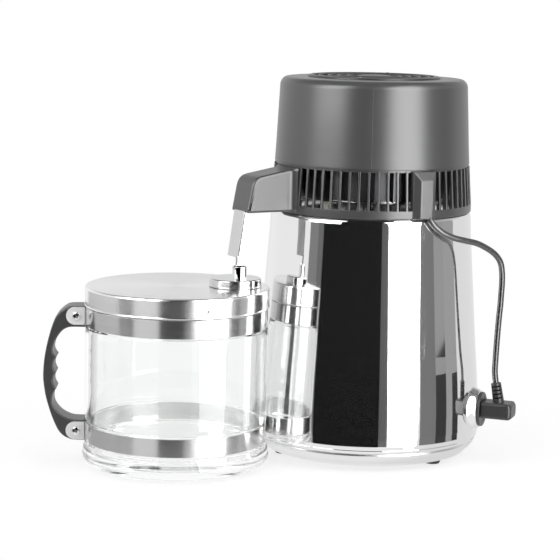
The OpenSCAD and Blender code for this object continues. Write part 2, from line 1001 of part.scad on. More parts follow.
module jug_handle() {
    color(black)
        at_handle()
            difference() {
                translate([0, handle_w / 2, 0])
                    rotate([90, 0, 0])
                        linear_extrude(handle_w)
                            polygon([
                                [78, 147.4], [97.5, 147.1], [103, 145], [107.4, 141.4], [110.6, 137.4],
                                [113.2, 131.4], [115.6, 124], [118, 115], [120, 105.5], [121.4, 96],
                                [122.1, 86.5], [122.1, 79], [121.2, 71], [119.8, 63], [117.6, 54.8],
                                [114.8, 46], [111.4, 37.6], [108, 30.8], [104, 26.4], [99.6, 23.8],
                                [94.2, 22.3], [78, 22], [78, 41], [91.6, 41.1], [96.4, 41.6],
                                [100.8, 43.2], [105.2, 45.6], [108.2, 48.2], [110.5, 50.8],
                                [112.3, 53.8], [113.4, 56.8], [113.7, 60.6], [113, 65], [111.5, 68.2],
                                [110.1, 70.2], [111.4, 72.4], [112.7, 75.4], [112.9, 79], [111.8, 82.6],
                                [110.4, 84.9], [111.9, 87.8], [112.8, 91.2], [112.4, 94.6],
                                [111.2, 97.2], [110, 99.6], [111.2, 101], [112.7, 103.4],
                                [113.4, 106.4], [112.8, 110.4], [111.4, 114.4], [108.6, 119.4],
                                [104.8, 124.2], [101.2, 126.6], [96.6, 127.9], [78, 128]
                            ]);
                translate([0, 0, 10])
                    cylinder(h = 150, r = neck_r + 0.05);
                translate([0, 0, 10])
                    cylinder(h = 12.7, r = glass_r + 0.1);
                translate([0, 0, 40.1])
                    cylinder(h = 90, r = glass_r + 0.1);
                for (z = band_z)
                    translate([bolt_u, 0, z + band_h / 2])
                        rotate([90, 0, 0])
                            cylinder(h = 60, r = 2.1, center = true);
            }
}

module handle_tabs() {
    mid = band_h / 2;
    color(bright)
        at_handle()
            for (z = band_z, s = [-1, 1])
                translate([0, s * (handle_w + tab_t) / 2, z + mid])
                    rotate([90, 0, 0])
                        difference() {
                            linear_extrude(tab_t, center = true)
                                difference() {
                                    union() {
                                        translate([tab_in, -mid])
                                            square([tab_out - mid - tab_in, band_h]);
                                        translate([tab_out - mid, 0])
                                            circle(mid);
                                    }
                                    translate([bolt_u, 0])
                                        circle(2.1);
                                }
                            translate([0, -mid - 1, s * (handle_w + tab_t) / 2])
                                rotate([-90, 0, 0])
                                    cylinder(h = band_h + 2, r = band_r);
                        }
}

module handle_bolts() {
    reach = handle_w / 2 + tab_t;
    color(steel)
        at_handle()
            for (z = band_z)
                translate([bolt_u, 0, z + band_h / 2])
                    rotate([-90, 0, 0]) {
                        cylinder(h = 2 * reach + 2, r = 2, center = true);
                        translate([0, 0, reach])
                            difference() {
                                union() {
                                    cylinder(h = 1.4, r = 4);
                                    translate([0, 0, 1.4])
                                        cylinder(h = 1, r1 = 4, r2 = 2.9);
                                }
                                translate([-0.5, -3, 1.2])
                                    cube([1, 6, 2]);
                                translate([-3, -0.5, 1.2])
                                    cube([6, 1, 2]);
                            }
                        translate([0, 0, -reach - 2.8])
                            cylinder(h = 2.8, r = 3.9, $fn = 6);
                    }
}

// Flat top sheet of the jug's lid with its rounded edge and the filter's hole.
module jug_lid() {
    color(steel)
        difference() {
            at_jug()
                rotate_extrude()
                    polygon([
                        [0, lid_top - lid_t], [lid_r - 2.4, lid_top - lid_t], [lid_r - lid_t, lid_top - 2.4],
                        [lid_r, lid_top - 2.4], [lid_r - 0.6, lid_top - 0.6], [lid_r - 2, lid_top], [0, lid_top]
                    ]);
            translate([cap_x, cap_y, lid_top - 5])
                cylinder(h = 10, r = basket_r + 0.02);
        }
}

// Side wall of the lid, its rolled lower edge and the skirt that drops into the glass.
module lid_rim() {
    color(steel)
        at_jug()
            rotate_extrude()
                polygon([
                    [skirt_r - 1, 144.6], [skirt_r, 144.6], [skirt_r, lid_low], [lid_r + 0.1, lid_low],
                    [lid_r + 0.5, lid_low + 0.5], [lid_r + 0.5, lid_low + 1.1], [lid_r, lid_low + 1.8],
                    [lid_r, lid_top - 2.4], [lid_r - lid_t, lid_top - 2.4], [lid_r - lid_t, lid_low + lid_t],
                    [skirt_r - 1, lid_low + lid_t]
                ]);
}

module lid_seal() {
    color([0.78, 0.78, 0.75])
        at_jug()
            tube_wall(glass_in_r - gap, skirt_r, 145, 147.4);
}

module filter_basket() {
    color(grey)
        translate([cap_x, cap_y, 0]) {
            tube_wall(basket_r, basket_r - basket_t, basket_low + basket_floor_t, lid_top);
            tube_wall(basket_r + 2.5, basket_r - 0.5, lid_top - lid_t - 1.5, lid_top - lid_t);
        }
}

// Drilled floor of the filter basket.
module basket_floor() {
    color(grey)
        translate([cap_x, cap_y, basket_low])
            difference() {
                cylinder(h = basket_floor_t, r = basket_r);
                for (a = [0 : 60 : 300])
                    rotate([0, 0, a])
                        translate([11, 0, -1])
                            cylinder(h = 5, r = 2);
                translate([0, 0, -1])
                    cylinder(h = 5, r = 2.4);
            }
}

module charcoal_pod() {
    color([0.93, 0.92, 0.88])
        translate([cap_x, cap_y, basket_low + basket_floor_t])
            cylinder(h = 20, r = basket_r - basket_t - 0.1);
}

module filter_cap() {
    spigot_r = basket_r - basket_t - gap;
    color(bright)
        difference() {
            translate([cap_x, cap_y, 0]) {
                translate([0, 0, cap_low])
                    cylinder(h = 1.2, r = cap_r + 0.3);
                translate([0, 0, cap_low + 1.2])
                    cylinder(h = cap_top - cap_low - 2.2, r = cap_r);
                translate([0, 0, cap_top - 1])
                    cylinder(h = 1, r1 = cap_r, r2 = cap_r - 1);
                tube_wall(spigot_r, spigot_r - 1, cap_low - 2.5, cap_low + 0.5);
            }
            translate([knob_x, knob_y, cap_low - 5])
                cylinder(h = 20, r = knob_r);
        }
}

module filter_knob() {
    color(bright)
        translate([knob_x, knob_y, 0])
            difference() {
                union() {
                    translate([0, 0, cap_low])
                        cylinder(h = knob_top - cap_low - 0.6, r = knob_r);
                    translate([0, 0, knob_top - 0.6])
                        cylinder(h = 0.6, r1 = knob_r, r2 = knob_r - 0.4);
                }
                translate([0, 0, cap_low - 1])
                    cylinder(h = 40, r = knob_bore);
            }
}

outer_shell();
boiling_chamber();
chamber_floor();
heater_plate();
heating_element();
thermostats();
terminal_block();
base_pan();
base_studs();
rubber_feet();
foot_screws();
fan_boss();
fan_socket();
socket_pins();
mains_boss();
mains_inlet();
mains_pins();
reset_bezel();
reset_button();
vent_ring();
dome_cover();
top_grille();
grille_screws();
head_plate();
head_spigot();
head_seal();
condenser_coil();
coil_posts();
condenser_fins();
fan_motor();
motor_bracket();
fan_shaft();
fan_rotor();
spout_arm();
drip_spout();
spout_tongue();
cable_box();
lead_gland();
lead_upper();
lead_lower();
lead_relief();
lead_plug();
plug_contacts();
jug_glass();
jug_foot();
upper_band();
lower_band();
jug_handle();
handle_tabs();
handle_bolts();
jug_lid();
lid_rim();
lid_seal();
filter_basket();
basket_floor();
charcoal_pod();
filter_cap();
filter_knob();
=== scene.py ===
from math import atan2, cos, degrees, hypot, pi, radians, sin, sqrt, tan

import bmesh
import bpy
from mathutils import Matrix, Vector


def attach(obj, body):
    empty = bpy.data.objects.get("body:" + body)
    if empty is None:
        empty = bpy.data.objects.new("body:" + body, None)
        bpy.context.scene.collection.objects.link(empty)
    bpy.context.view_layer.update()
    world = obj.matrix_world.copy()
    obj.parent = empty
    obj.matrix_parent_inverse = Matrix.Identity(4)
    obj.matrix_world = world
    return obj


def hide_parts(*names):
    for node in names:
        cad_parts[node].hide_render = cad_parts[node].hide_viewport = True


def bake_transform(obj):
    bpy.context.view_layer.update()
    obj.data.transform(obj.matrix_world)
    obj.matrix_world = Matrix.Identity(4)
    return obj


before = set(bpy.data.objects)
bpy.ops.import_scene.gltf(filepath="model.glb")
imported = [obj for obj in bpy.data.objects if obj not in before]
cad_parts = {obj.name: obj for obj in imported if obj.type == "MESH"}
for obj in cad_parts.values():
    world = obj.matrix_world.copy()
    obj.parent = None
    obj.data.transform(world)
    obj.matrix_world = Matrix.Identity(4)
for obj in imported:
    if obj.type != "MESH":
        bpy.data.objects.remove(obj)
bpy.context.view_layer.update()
mm = 0.001

# Camera

cameraData = {
    "place": (-1.0374, -1.6270, 0.4467),
    "right": (0.8660, -0.5, 0.0),
    "up": (0.0729, 0.1263, 0.9893),
    "roll": 1.1648,
    "focalPixels": 2036.3,
    "imageWidth": 560,
}


def makeCamera(spec):
    lens = bpy.data.cameras.new("camera")
    lens.sensor_width = 36
    lens.lens = spec["focalPixels"] / spec["imageWidth"] * lens.sensor_width
    lens.clip_start = 0.05
    lens.clip_end = 60
    camera = bpy.data.objects.new("camera", lens)
    bpy.context.collection.objects.link(camera)
    turn = radians(spec["roll"])
    flatRight, flatUp = Vector(spec["right"]).normalized(), Vector(spec["up"]).normalized()
    right = cos(turn) * flatRight + sin(turn) * flatUp
    up = -sin(turn) * flatRight + cos(turn) * flatUp
    back = right.cross(up)
    camera.matrix_world = Matrix((
        (right.x, up.x, back.x, spec["place"][0]),
        (right.y, up.y, back.y, spec["place"][1]),
        (right.z, up.z, back.z, spec["place"][2]),
        (0, 0, 0, 1),
    ))
    bpy.context.scene.camera = camera


makeCamera(cameraData)
print("camera")

# Mesh helpers, all in millimetres


def curveThrough(points, steps):
    line = []
    last = len(points) - 1
    for i in range(last):
        a, b, c, d = (Vector(points[min(max(i + k, 0), last)]) for k in (-1, 0, 1, 2))
        for k in range(steps):
            t = k / steps
            line.append(0.5 * (2 * b + (c - a) * t + (2 * a - 5 * b + 4 * c - d) * t * t
                               + (3 * b - 3 * c + d - a) * t * t * t))
    line.append(Vector(points[last]))
    return line


def filletLine(points, closed=True, steps=5):
    # each point is (x, y) or (x, y, fillet radius)
    line = []
    count = len(points)
    for i, point in enumerate(points):
        here = Vector(point[:2])
        radius = point[2] if len(point) > 2 else 0
        if radius == 0 or (not closed and i in (0, count - 1)):
            line.append(here)
            continue
        before, after = Vector(points[i - 1][:2]) - here, Vector(points[(i + 1) % count][:2]) - here
        opening = before.angle(after)
        reach = min(radius / tan(opening / 2), 0.48 * before.length, 0.48 * after.length)
        size = reach * tan(opening / 2)
        bisector = (before.normalized() + after.normalized()).normalized()
        middle = here + bisector * (size / sin(opening / 2))
        start = here + before.normalized() * reach - middle
        turn = pi - opening
        sign = 1 if before.x * after.y - before.y * after.x < 0 else -1
        for k in range(steps + 1):
            angle = sign * turn * k / steps
            line.append(middle + Vector((start.x * cos(angle) - start.y * sin(angle),
                                         start.x * sin(angle) + start.y * cos(angle))))
    return line


def rounds(low, high, count):
    return [low + (high - low) * k / count for k in range(count + 1)]


def evenAngles(count):
    return [2 * pi * k / count for k in range(count)]


def loopFaces(mesh, rings, closed=False):
    # faces between neighbouring rings, and from the last to the first when closed
    pairs = list(zip(rings, rings[1:])) + ([(rings[-1], rings[0])] if closed else [])
    for a, b in pairs:
        for k in range(len(a)):
            j = (k + 1) % len(a)
            corners = []
            for vert in (a[k], b[k], b[j], a[j]):
                if vert not in corners:
                    corners.append(vert)
            if len(corners) > 2:
                mesh.faces.new(corners)


def lathe(mesh, line, centre=(0, 0), segments=96, closed=True):
    # line is (radius, height), and a radius of 0 is one point on the axis
    rings = []
    for radius, height in line:
        if radius < 1e-6:
            rings.append([mesh.verts.new((*centre, height))] * segments)
            continue
        ring = []
        for angle in evenAngles(segments):
            place = Vector((radius * cos(angle), radius * sin(angle), height))
            ring.append(mesh.verts.new((place.x + centre[0], place.y + centre[1], place.z)))
        rings.append(ring)
    loopFaces(mesh, rings, closed)


def turnProfile(mesh, points, closed=True, steps=5, centre=(0, 0), segments=96):
    # points are (radius, height, fillet radius)
    line = filletLine(points, closed, steps)
    lathe(mesh, line, centre, segments, closed)


def sweepTube(mesh, path, radius, sides, start=(0, 1, 0)):
    # round tube with closed ends; start is the side on which each ring begins
    loops, side = [], Vector(start)
    last = len(path) - 1
    for i, point in enumerate(path):
        along = (path[min(i + 1, last)] - path[max(i - 1, 0)]).normalized()
        side = (side - along * side.dot(along)).normalized()
        other = along.cross(side)
        loops.append([point + radius * (cos(a) * side + sin(a) * other) for a in evenAngles(sides)])
    stackLoops(mesh, loops)


def insetLoop(outline, depth):
    count = len(outline)
    area = sum(outline[i - 1].x * outline[i].y - outline[i].x * outline[i - 1].y for i in range(count))
    sign = 1 if area > 0 else -1
    moved = []
    for i in range(count):
        a = (outline[i] - outline[i - 1]).normalized()
        b = (outline[(i + 1) % count] - outline[i]).normalized()
        normal = Vector((-(a.y + b.y), a.x + b.x))
        normal = normal / max(normal.length, 1e-6) * sign
        stretch = 1 / max(0.5, sqrt(max(0.0, (1 + a.dot(b)) / 2)))
        moved.append(outline[i] + normal * depth * stretch)
    return moved


def stackLoops(mesh, loops):
    # loops are lists of 3D points, all the same length, joined and capped
    rings = [[mesh.verts.new(point) for point in loop] for loop in loops]
    loopFaces(mesh, rings)
    mesh.faces.new(list(reversed(rings[0])))
    mesh.faces.new(rings[-1])


def slab(mesh, outline, half, edge, steps=4, inner=(), place=lambda x, y, w: (x, w, y)):
    # flat outline given thickness both ways, with its edges rounded
    stations = [(-half + edge * (1 - cos(pi / 2 * k / steps)), edge * (1 - sin(pi / 2 * k / steps)))
                for k in range(steps + 1)]
    stations += [(w, 0) for w in inner] + [(-w, depth) for w, depth in reversed(stations)]
    stackLoops(mesh, [[place(p.x, p.y, w) for p in (insetLoop(outline, depth) if depth > 1e-6 else outline)]
                      for w, depth in stations])


def levelSlab(mesh, outline, half, edge, centre, steps=1):
    # the same, lying level about a centre
    slab(mesh, outline, half, edge, steps, (),
         lambda x, y, w: (x + centre[0], y + centre[1], w + centre[2]))


def roundedBox(width, height, radius, steps=5):
    return filletLine([(sx * width / 2, sy * height / 2, radius)
                       for sx, sy in ((-1, -1), (1, -1), (1, 1), (-1, 1))], steps=steps)


def outward(azimuth, height):
    # X down, Y along the shell, Z away from the boiler's axis
    turn = Matrix.Rotation(radians(azimuth), 4, "Z") @ Matrix.Translation((0, 0, height))
    return turn @ Matrix.Rotation(pi / 2, 4, "Y")


def meshObject(name, mesh):
    data = bpy.data.meshes.new(name)
    mesh.to_mesh(data)
    mesh.free()
    thing = bpy.data.objects.new(name, data)
    bpy.context.collection.objects.link(thing)
    return thing


def looseMesh(name, build):
    mesh = bmesh.new()
    build(mesh)
    bmesh.ops.recalc_face_normals(mesh, faces=mesh.faces)
    mesh.transform(Matrix.Scale(mm, 4))
    return meshObject(name, mesh)


def meshPiece(name, build, place=None, cuts=()):
    # built and cut in its own frame, then moved to its place
    piece = looseMesh(name, build)
    cutters = [looseMesh("cutter", cut) for cut in cuts]
    for cutter in cutters:
        tool = piece.modifiers.new("cut", "BOOLEAN")
        tool.operation = "DIFFERENCE"
        tool.solver = "EXACT"
        tool.object = cutter
    if cutters:
        bpy.context.view_layer.update()
        graph = bpy.context.evaluated_depsgraph_get()
        result = bpy.data.meshes.new_from_object(piece.evaluated_get(graph))
        piece.modifiers.clear()
        piece.data = result
        for cutter in cutters:
            bpy.data.objects.remove(cutter, do_unlink=True)
    if place is not None:
        scaled = place.copy()
        scaled.translation *= mm
        piece.data.transform(scaled)
    return piece


def finishPiece(piece, finishName, body, replaced, sharp=32):
    for face in piece.data.polygons:
        face.use_smooth = True
    piece.data.set_sharp_from_angle(angle=radians(sharp))
    piece.data.materials.clear()
    piece.data.materials.append(finishes[finishName])
    if body:
        evened = piece.modifiers.new("evenedNormals", "WEIGHTED_NORMAL")
        evened.keep_sharp = True
        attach(piece, body)
    if replaced:
        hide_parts(*replaced)


# Material helpers

numberSocket, vectorSocket = "NodeSocketFloat", "NodeSocketVector"


def setInputs(tree, node, values):
    # a value is a number or colour, or another node's output, which is linked
    for key, value in values.items():
        if isinstance(value, bpy.types.NodeSocket):
            tree.links.new(value, node.inputs[key])
        else:
            node.inputs[key].default_value = value


def addNode(tree, kind, values=None, settings=None):
    node = tree.nodes.new(kind)
    for key, value in (settings or {}).items():
        setattr(node, key, value)
    setInputs(tree, node, values or {})
    return node


def calc(tree, operation, a, b=None, clamp=False):
    values = {0: a} if b is None else {0: a, 1: b}
    return addNode(tree, "ShaderNodeMath", values, {"operation": operation, "use_clamp": clamp}).outputs[0]


def rangeOf(tree, value, low, high, start=0.0, end=1.0):
    # a value from start to end is spread from low to high
    return addNode(tree, "ShaderNodeMapRange", {"Value": value, "From Min": start, "From Max": end,
                                                "To Min": low, "To Max": high}).outputs[0]


def splitAxes(tree, vector):
    return addNode(tree, "ShaderNodeSeparateXYZ", {0: vector}).outputs


def addNoise(tree, vector, values, settings=None):
    return addNode(tree, "ShaderNodeTexNoise", {"Vector": vector, **values}, settings).outputs["Fac"]


def addBump(tree, height, strength, distance, under=None):
    # under is the normal that this one is added to
    values = {"Height": height, "Strength": strength, "Distance": distance}
    if under is not None:
        values["Normal"] = under
    return addNode(tree, "ShaderNodeBump", values).outputs[0]


def mixShaders(tree, factor, first, second):
    return addNode(tree, "ShaderNodeMixShader", {0: factor, 1: first, 2: second}).outputs[0]


def blendColour(tree, factor, first, second):
    values = {0: factor}
    for index, colour in ((6, first), (7, second)):
        values[index] = (*colour, 1) if isinstance(colour, tuple) else colour
    return addNode(tree, "ShaderNodeMix", values, {"data_type": "RGBA"}).outputs[2]


def grey(value):
    return (value, value, value)


def shaded(colour, factor, lift=0.0):
    return tuple(min(1, c * factor + lift) for c in colour)


# Shader node groups


def newGroup(name, inputs, outputs):
    # gives the group, what it is fed and its output node
    group = bpy.data.node_groups.new(name, "ShaderNodeTree")
    for label, kind, value in inputs:
        socket = group.interface.new_socket(name=label, in_out="INPUT", socket_type=kind)
        if value is not None:
            socket.default_value = value
    for label, kind in outputs:
        group.interface.new_socket(name=label, in_out="OUTPUT", socket_type=kind)
    return group, group.nodes.new("NodeGroupInput").outputs, group.nodes.new("NodeGroupOutput")


def makeBrushedLines():
    # lines that run round a centre, or straight when the centre is far away
    group, given, out = newGroup(
        "brushedLines",
        [("Vector", vectorSocket, None), ("Centre", vectorSocket, (0, 0, 0)),
         ("Lines", numberSocket, 4500), ("Length", numberSocket, 3), ("Depth", numberSocket, 0.2)],
        [("Value", numberSocket), ("Normal", vectorSocket)])
    offset = addNode(group, "ShaderNodeVectorMath", {0: given["Vector"], 1: given["Centre"]},
                     {"operation": "SUBTRACT"})
    x, y, z = splitAxes(group, offset.outputs[0])
    square = calc(group, "ADD", calc(group, "MULTIPLY", x, x), calc(group, "MULTIPLY", y, y))
    radius = calc(group, "SQRT", square)
    east, north = (calc(group, "MULTIPLY", calc(group, "DIVIDE", part, radius), given["Length"])
                   for part in (x, y))
    height = calc(group, "MULTIPLY", z, given["Lines"])
    away = calc(group, "MULTIPLY", radius, given["Lines"])
    joined = addNode(group, "ShaderNodeCombineXYZ", {0: east, 1: north, 2: height})
    noise = addNoise(group, joined.outputs[0], {"W": away, "Scale": 1, "Detail": 3, "Roughness": 0.65},
                     {"noise_dimensions": "4D"})
    setInputs(group, out, {"Value": noise, "Normal": addBump(group, noise, given["Depth"], 0.00005)})
    return group


def makeMouldGrain():
    # fine moulded texture with a slow waviness below it
    group, given, out = newGroup(
        "mouldGrain",
        [("Vector", vectorSocket, None), ("Scale", numberSocket, 2600), ("Depth", numberSocket, 0.25),
         ("Waves", numberSocket, 0.12)],
        [("Value", numberSocket), ("Normal", vectorSocket)])
    fine = addNoise(group, given["Vector"], {"Scale": given["Scale"], "Detail": 2, "Roughness": 0.6})
    slow = addNoise(group, given["Vector"], {"Scale": 28, "Detail": 1})
    wave = addBump(group, slow, given["Waves"], 0.0004)
    setInputs(group, out, {"Value": fine, "Normal": addBump(group, fine, given["Depth"], 0.00006, wave)})
    return group


def makeHandWear():
    # faint smudges and wipe marks, 0 clean to 1 marked
    group, given, out = newGroup(
        "handWear",
        [("Vector", vectorSocket, None), ("Scale", numberSocket, 22), ("Cover", numberSocket, 0.5)],
        [("Mask", numberSocket)])
    warp = addNoise(group, given["Vector"],
                    {"Scale": given["Scale"], "Detail": 4, "Roughness": 0.6, "Distortion": 1.4})
    marks = rangeOf(group, warp, 0.0, 1.0, 0.42, 0.78)
    setInputs(group, out, {"Mask": calc(group, "MULTIPLY", marks, given["Cover"], True)})
    return group


def makeSettledDust():
    # a light film on faces that look upward
    group, given, out = newGroup(
        "settledDust",
        [("Vector", vectorSocket, None), ("Amount", numberSocket, 0.3)],
        [("Mask", numberSocket)])
    facing = addNode(group, "ShaderNodeNewGeometry").outputs["Normal"]
    up = calc(group, "POWER", calc(group, "MAXIMUM", splitAxes(group, facing)["Z"], 0.0), 3.0)
    noise = addNoise(group, given["Vector"], {"Scale": 90, "Detail": 6, "Roughness": 0.75})
    spread = calc(group, "MULTIPLY", up, noise)
    setInputs(group, out, {"Mask": calc(group, "MULTIPLY", spread, given["Amount"], True)})
    return group


def makeRubbedEdges():
    # edges and corners that handling has polished
    group, given, out = newGroup("rubbedEdges", [("Amount", numberSocket, 0.5)], [("Mask", numberSocket)])
    pointed = addNode(group, "ShaderNodeNewGeometry").outputs["Pointiness"]
    edges = rangeOf(group, pointed, 0.0, 1.0, 0.52, 0.66)
    setInputs(group, out, {"Mask": calc(group, "MULTIPLY", edges, given["Amount"], True)})
    return group


groups = {
    "brushedLines": makeBrushedLines(),
    "mouldGrain": makeMouldGrain(),
    "handWear": makeHandWear(),
    "settledDust": makeSettledDust(),
    "rubbedEdges": makeRubbedEdges(),
}


def useGroup(tree, name, values):
    return addNode(tree, "ShaderNodeGroup", values, {"node_tree": groups[name]}).outputs


# Finishes


def startTree(owner, outKind):
    owner.use_nodes = True
    tree = owner.node_tree
    tree.nodes.clear()
    return tree, addNode(tree, outKind)


def startMaterial(name, values):
    finish = bpy.data.materials.new(name)
    tree, out = startTree(finish, "ShaderNodeOutputMaterial")
    surface = addNode(tree, "ShaderNodeBsdfPrincipled", values)
    setInputs(tree, out, {"Surface": surface.outputs[0]})
    return finish, tree, surface, addNode(tree, "ShaderNodeTexCoord").outputs["Object"]


def plasticFinish(name, colour, roughness, grain=0.25, scale=2600, waves=0.1, level=0.5, coat=0.0):
    finish, tree, surface, where = startMaterial(
        name, {"Specular IOR Level": level, "Coat Weight": coat, "Coat Roughness": 0.12})
    texture = useGroup(tree, "mouldGrain",
                       {"Vector": where, "Scale": scale, "Depth": grain, "Waves": waves})
    marks = useGroup(tree, "handWear", {"Vector": where, "Scale": 26, "Cover": 0.5})
    film = useGroup(tree, "settledDust", {"Vector": where, "Amount": 0.25})
    edges = useGroup(tree, "rubbedEdges", {"Amount": 0.5})
    shade = blendColour(tree, edges["Mask"], colour, shaded(colour, 1.35, 0.006))
    rough = rangeOf(tree, marks["Mask"], roughness, roughness * 0.82)
    grainy = rangeOf(tree, texture["Value"], -0.03, 0.03)
    setInputs(tree, surface, {
        "Base Color": blendColour(tree, film["Mask"], shade, shaded(colour, 0.8, 0.1)),
        "Roughness": calc(tree, "ADD", rough, grainy, True),
        "Normal": texture["Normal"],
    })
    return finish


def polishedFinish(name, colour, roughness, wear=0.6, ripple=0.02, lines=0.0, dust=0.12, metal=1.0):
    finish, tree, surface, where = startMaterial(name, {"Metallic": metal, "Specular IOR Level": 0.5})
    marks = useGroup(tree, "handWear", {"Vector": where, "Scale": 17, "Cover": wear})
    film = useGroup(tree, "settledDust", {"Vector": where, "Amount": dust})
    hairline = useGroup(tree, "brushedLines", {"Vector": where, "Lines": 2600, "Length": 2, "Depth": lines})
    shade = blendColour(tree, marks["Mask"], colour, shaded(colour, 0.94))
    rough = rangeOf(tree, marks["Mask"], roughness, roughness * 1.7)
    slow = addNoise(tree, where, {"Scale": 9, "Detail": 1})
    setInputs(tree, surface, {
        "Base Color": blendColour(tree, film["Mask"], shade, dustGrey),
        "Roughness": calc(tree, "ADD", rough, calc(tree, "MULTIPLY", film["Mask"], 0.3), True),
        "Normal": addBump(tree, slow, ripple, 0.001, hairline["Normal"]),
    })
    return finish


def brushedFinish(name, colour, centre, roughness, stretch, depth, lines=5200):
    finish, tree, surface, where = startMaterial(
        name, {"Metallic": 1.0, "Anisotropic": stretch, "Anisotropic Rotation": 0.25})
    strokes = useGroup(tree, "brushedLines", {"Vector": where, "Centre": centre, "Lines": lines,
                                              "Length": 2.5, "Depth": depth})
    marks = useGroup(tree, "handWear", {"Vector": where, "Scale": 20, "Cover": 0.5})
    film = useGroup(tree, "settledDust", {"Vector": where, "Amount": 0.12})
    tone = rangeOf(tree, strokes["Value"], 1.0, 0.0, 0.3, 0.7)
    shade = blendColour(tree, tone, colour, shaded(colour, 0.9))
    rough = rangeOf(tree, strokes["Value"], roughness * 0.85, roughness * 1.2, 0.3, 0.7)
    setInputs(tree, surface, {
        "Base Color": blendColour(tree, film["Mask"], shade, dustGrey),
        "Roughness": calc(tree, "ADD", rough, calc(tree, "MULTIPLY", marks["Mask"], 0.06), True),
        "Normal": strokes["Normal"],
    })
    return finish


def glassFinish(name, colour):
    finish, tree, surface, where = startMaterial(
        name, {"Base Color": (*colour, 1), "Transmission Weight": 1.0, "IOR": 1.48,
               "Specular IOR Level": 0.5})
    marks = useGroup(tree, "handWear", {"Vector": where, "Scale": 14, "Cover": 0.6})
    slow = addNoise(tree, where, {"Scale": 14, "Detail": 1})
    setInputs(tree, surface, {"Roughness": rangeOf(tree, marks["Mask"], 0.0, 0.05),
                              "Normal": addBump(tree, slow, 0.05, 0.001)})
    # shadow rays pass, so the lamps reach what is behind the glass
    clear = addNode(tree, "ShaderNodeBsdfTransparent").outputs[0]
    shadow = addNode(tree, "ShaderNodeLightPath").outputs["Is Shadow Ray"]
    out = next(node for node in tree.nodes if node.type == "OUTPUT_MATERIAL")
    setInputs(tree, out, {"Surface": mixShaders(tree, shadow, surface.outputs[0], clear)})
    return finish


def feltFinish(name, colour):
    finish, tree, surface, where = startMaterial(name, {"Roughness": 0.9, "Sheen Weight": 0.3})
    texture = useGroup(tree, "mouldGrain", {"Vector": where, "Scale": 1400, "Depth": 0.8, "Waves": 0.4})
    tone = rangeOf(tree, texture["Value"], 0.0, 1.0, 0.3, 0.7)
    setInputs(tree, surface, {"Base Color": blendColour(tree, tone, shaded(colour, 0.8), colour),
                              "Normal": texture["Normal"]})
    return finish


dustGrey = grey(0.6)
jugCentre = (-191.6, 26.5)
lidCentre = (jugCentre[0] * mm, jugCentre[1] * mm, 0)
headCentre = (0, 0, 0)
finishes = {
    "shell": polishedFinish("shellSteel", grey(0.8), 0.045, 0.2, ripple=0.012, dust=0.06, metal=0.985),
    "bright": polishedFinish("brightSteel", grey(0.78), 0.12),
    "panSteel": polishedFinish("panSteel", grey(0.8), 0.3, lines=0.1),
    "chrome": polishedFinish("chrome", (0.86, 0.87, 0.88), 0.05, wear=0.4),
    "lidSteel": brushedFinish("lidSteel", grey(0.9), lidCentre, 0.22, 0.5, 0.1),
    "bandSteel": brushedFinish("bandSteel", grey(0.78), lidCentre, 0.2, 0.6, 0.15),
    # lighter, rougher copy of the band steel for the tabs: the rougher satin face is a real finish, the
    # lighter colour is painted light
    "tabSteelPaintedLight": polishedFinish("tabSteelPaintedLight", grey(0.86), 0.5, lines=0.2),
    "screwSteel": polishedFinish("screwSteel", grey(0.82), 0.2),
    "capSteel": polishedFinish("capSteel", grey(0.66), 0.14),
    "spoutSteel": polishedFinish("spoutSteel", grey(0.62), 0.2, lines=0.1),
    # the fins' near-black colour is painted shade for the dim inside of the head seen through the vent
    # slots
    "finMetalPaintedShade": brushedFinish("finMetalPaintedShade", (0.12, 0.12, 0.125), headCentre, 0.42, 0.3, 0.2, 3000),
    "coilSteel": polishedFinish("coilSteel", grey(0.35), 0.2),
    "aluminium": brushedFinish("aluminium", (0.76, 0.77, 0.78), headCentre, 0.34, 0.3, 0.2, 3000),
    "brass": polishedFinish("brass", (0.78, 0.62, 0.32), 0.22),
    "headPlastic": plasticFinish("headPlastic", (0.042, 0.042, 0.043), 0.34, 0.16, 2800, 0.08, 0.9),
    "blackPlastic": plasticFinish("blackPlastic", (0.03, 0.03, 0.031), 0.38, 0.3, 2400, 0.12, 0.6),
    "handlePlastic": plasticFinish("handlePlastic", (0.045, 0.045, 0.046), 0.34, 0.3, 2400, 0.12, 0.7),
    "cordSheath": plasticFinish("cordSheath", (0.022, 0.022, 0.023), 0.3, 0.2, 1800, 0.15, 0.9, coat=0.7),
    "redPlastic": plasticFinish("redPlastic", (0.55, 0.035, 0.03), 0.22, 0.08, 2600, 0.06, 0.5),
    "blockPlastic": plasticFinish("blockPlastic", (0.76, 0.73, 0.64), 0.5),
    "silicone": plasticFinish("silicone", (0.62, 0.62, 0.59), 0.48, 0.1),
    "rubber": plasticFinish("rubber", (0.03, 0.03, 0.03), 0.65, 0.6, 1600),
    "glass": glassFinish("jugGlassFinish", (0.975, 0.98, 0.978)),
    "felt": feltFinish("felt", (0.86, 0.85, 0.8)),
}
print("materials")

# Boiler

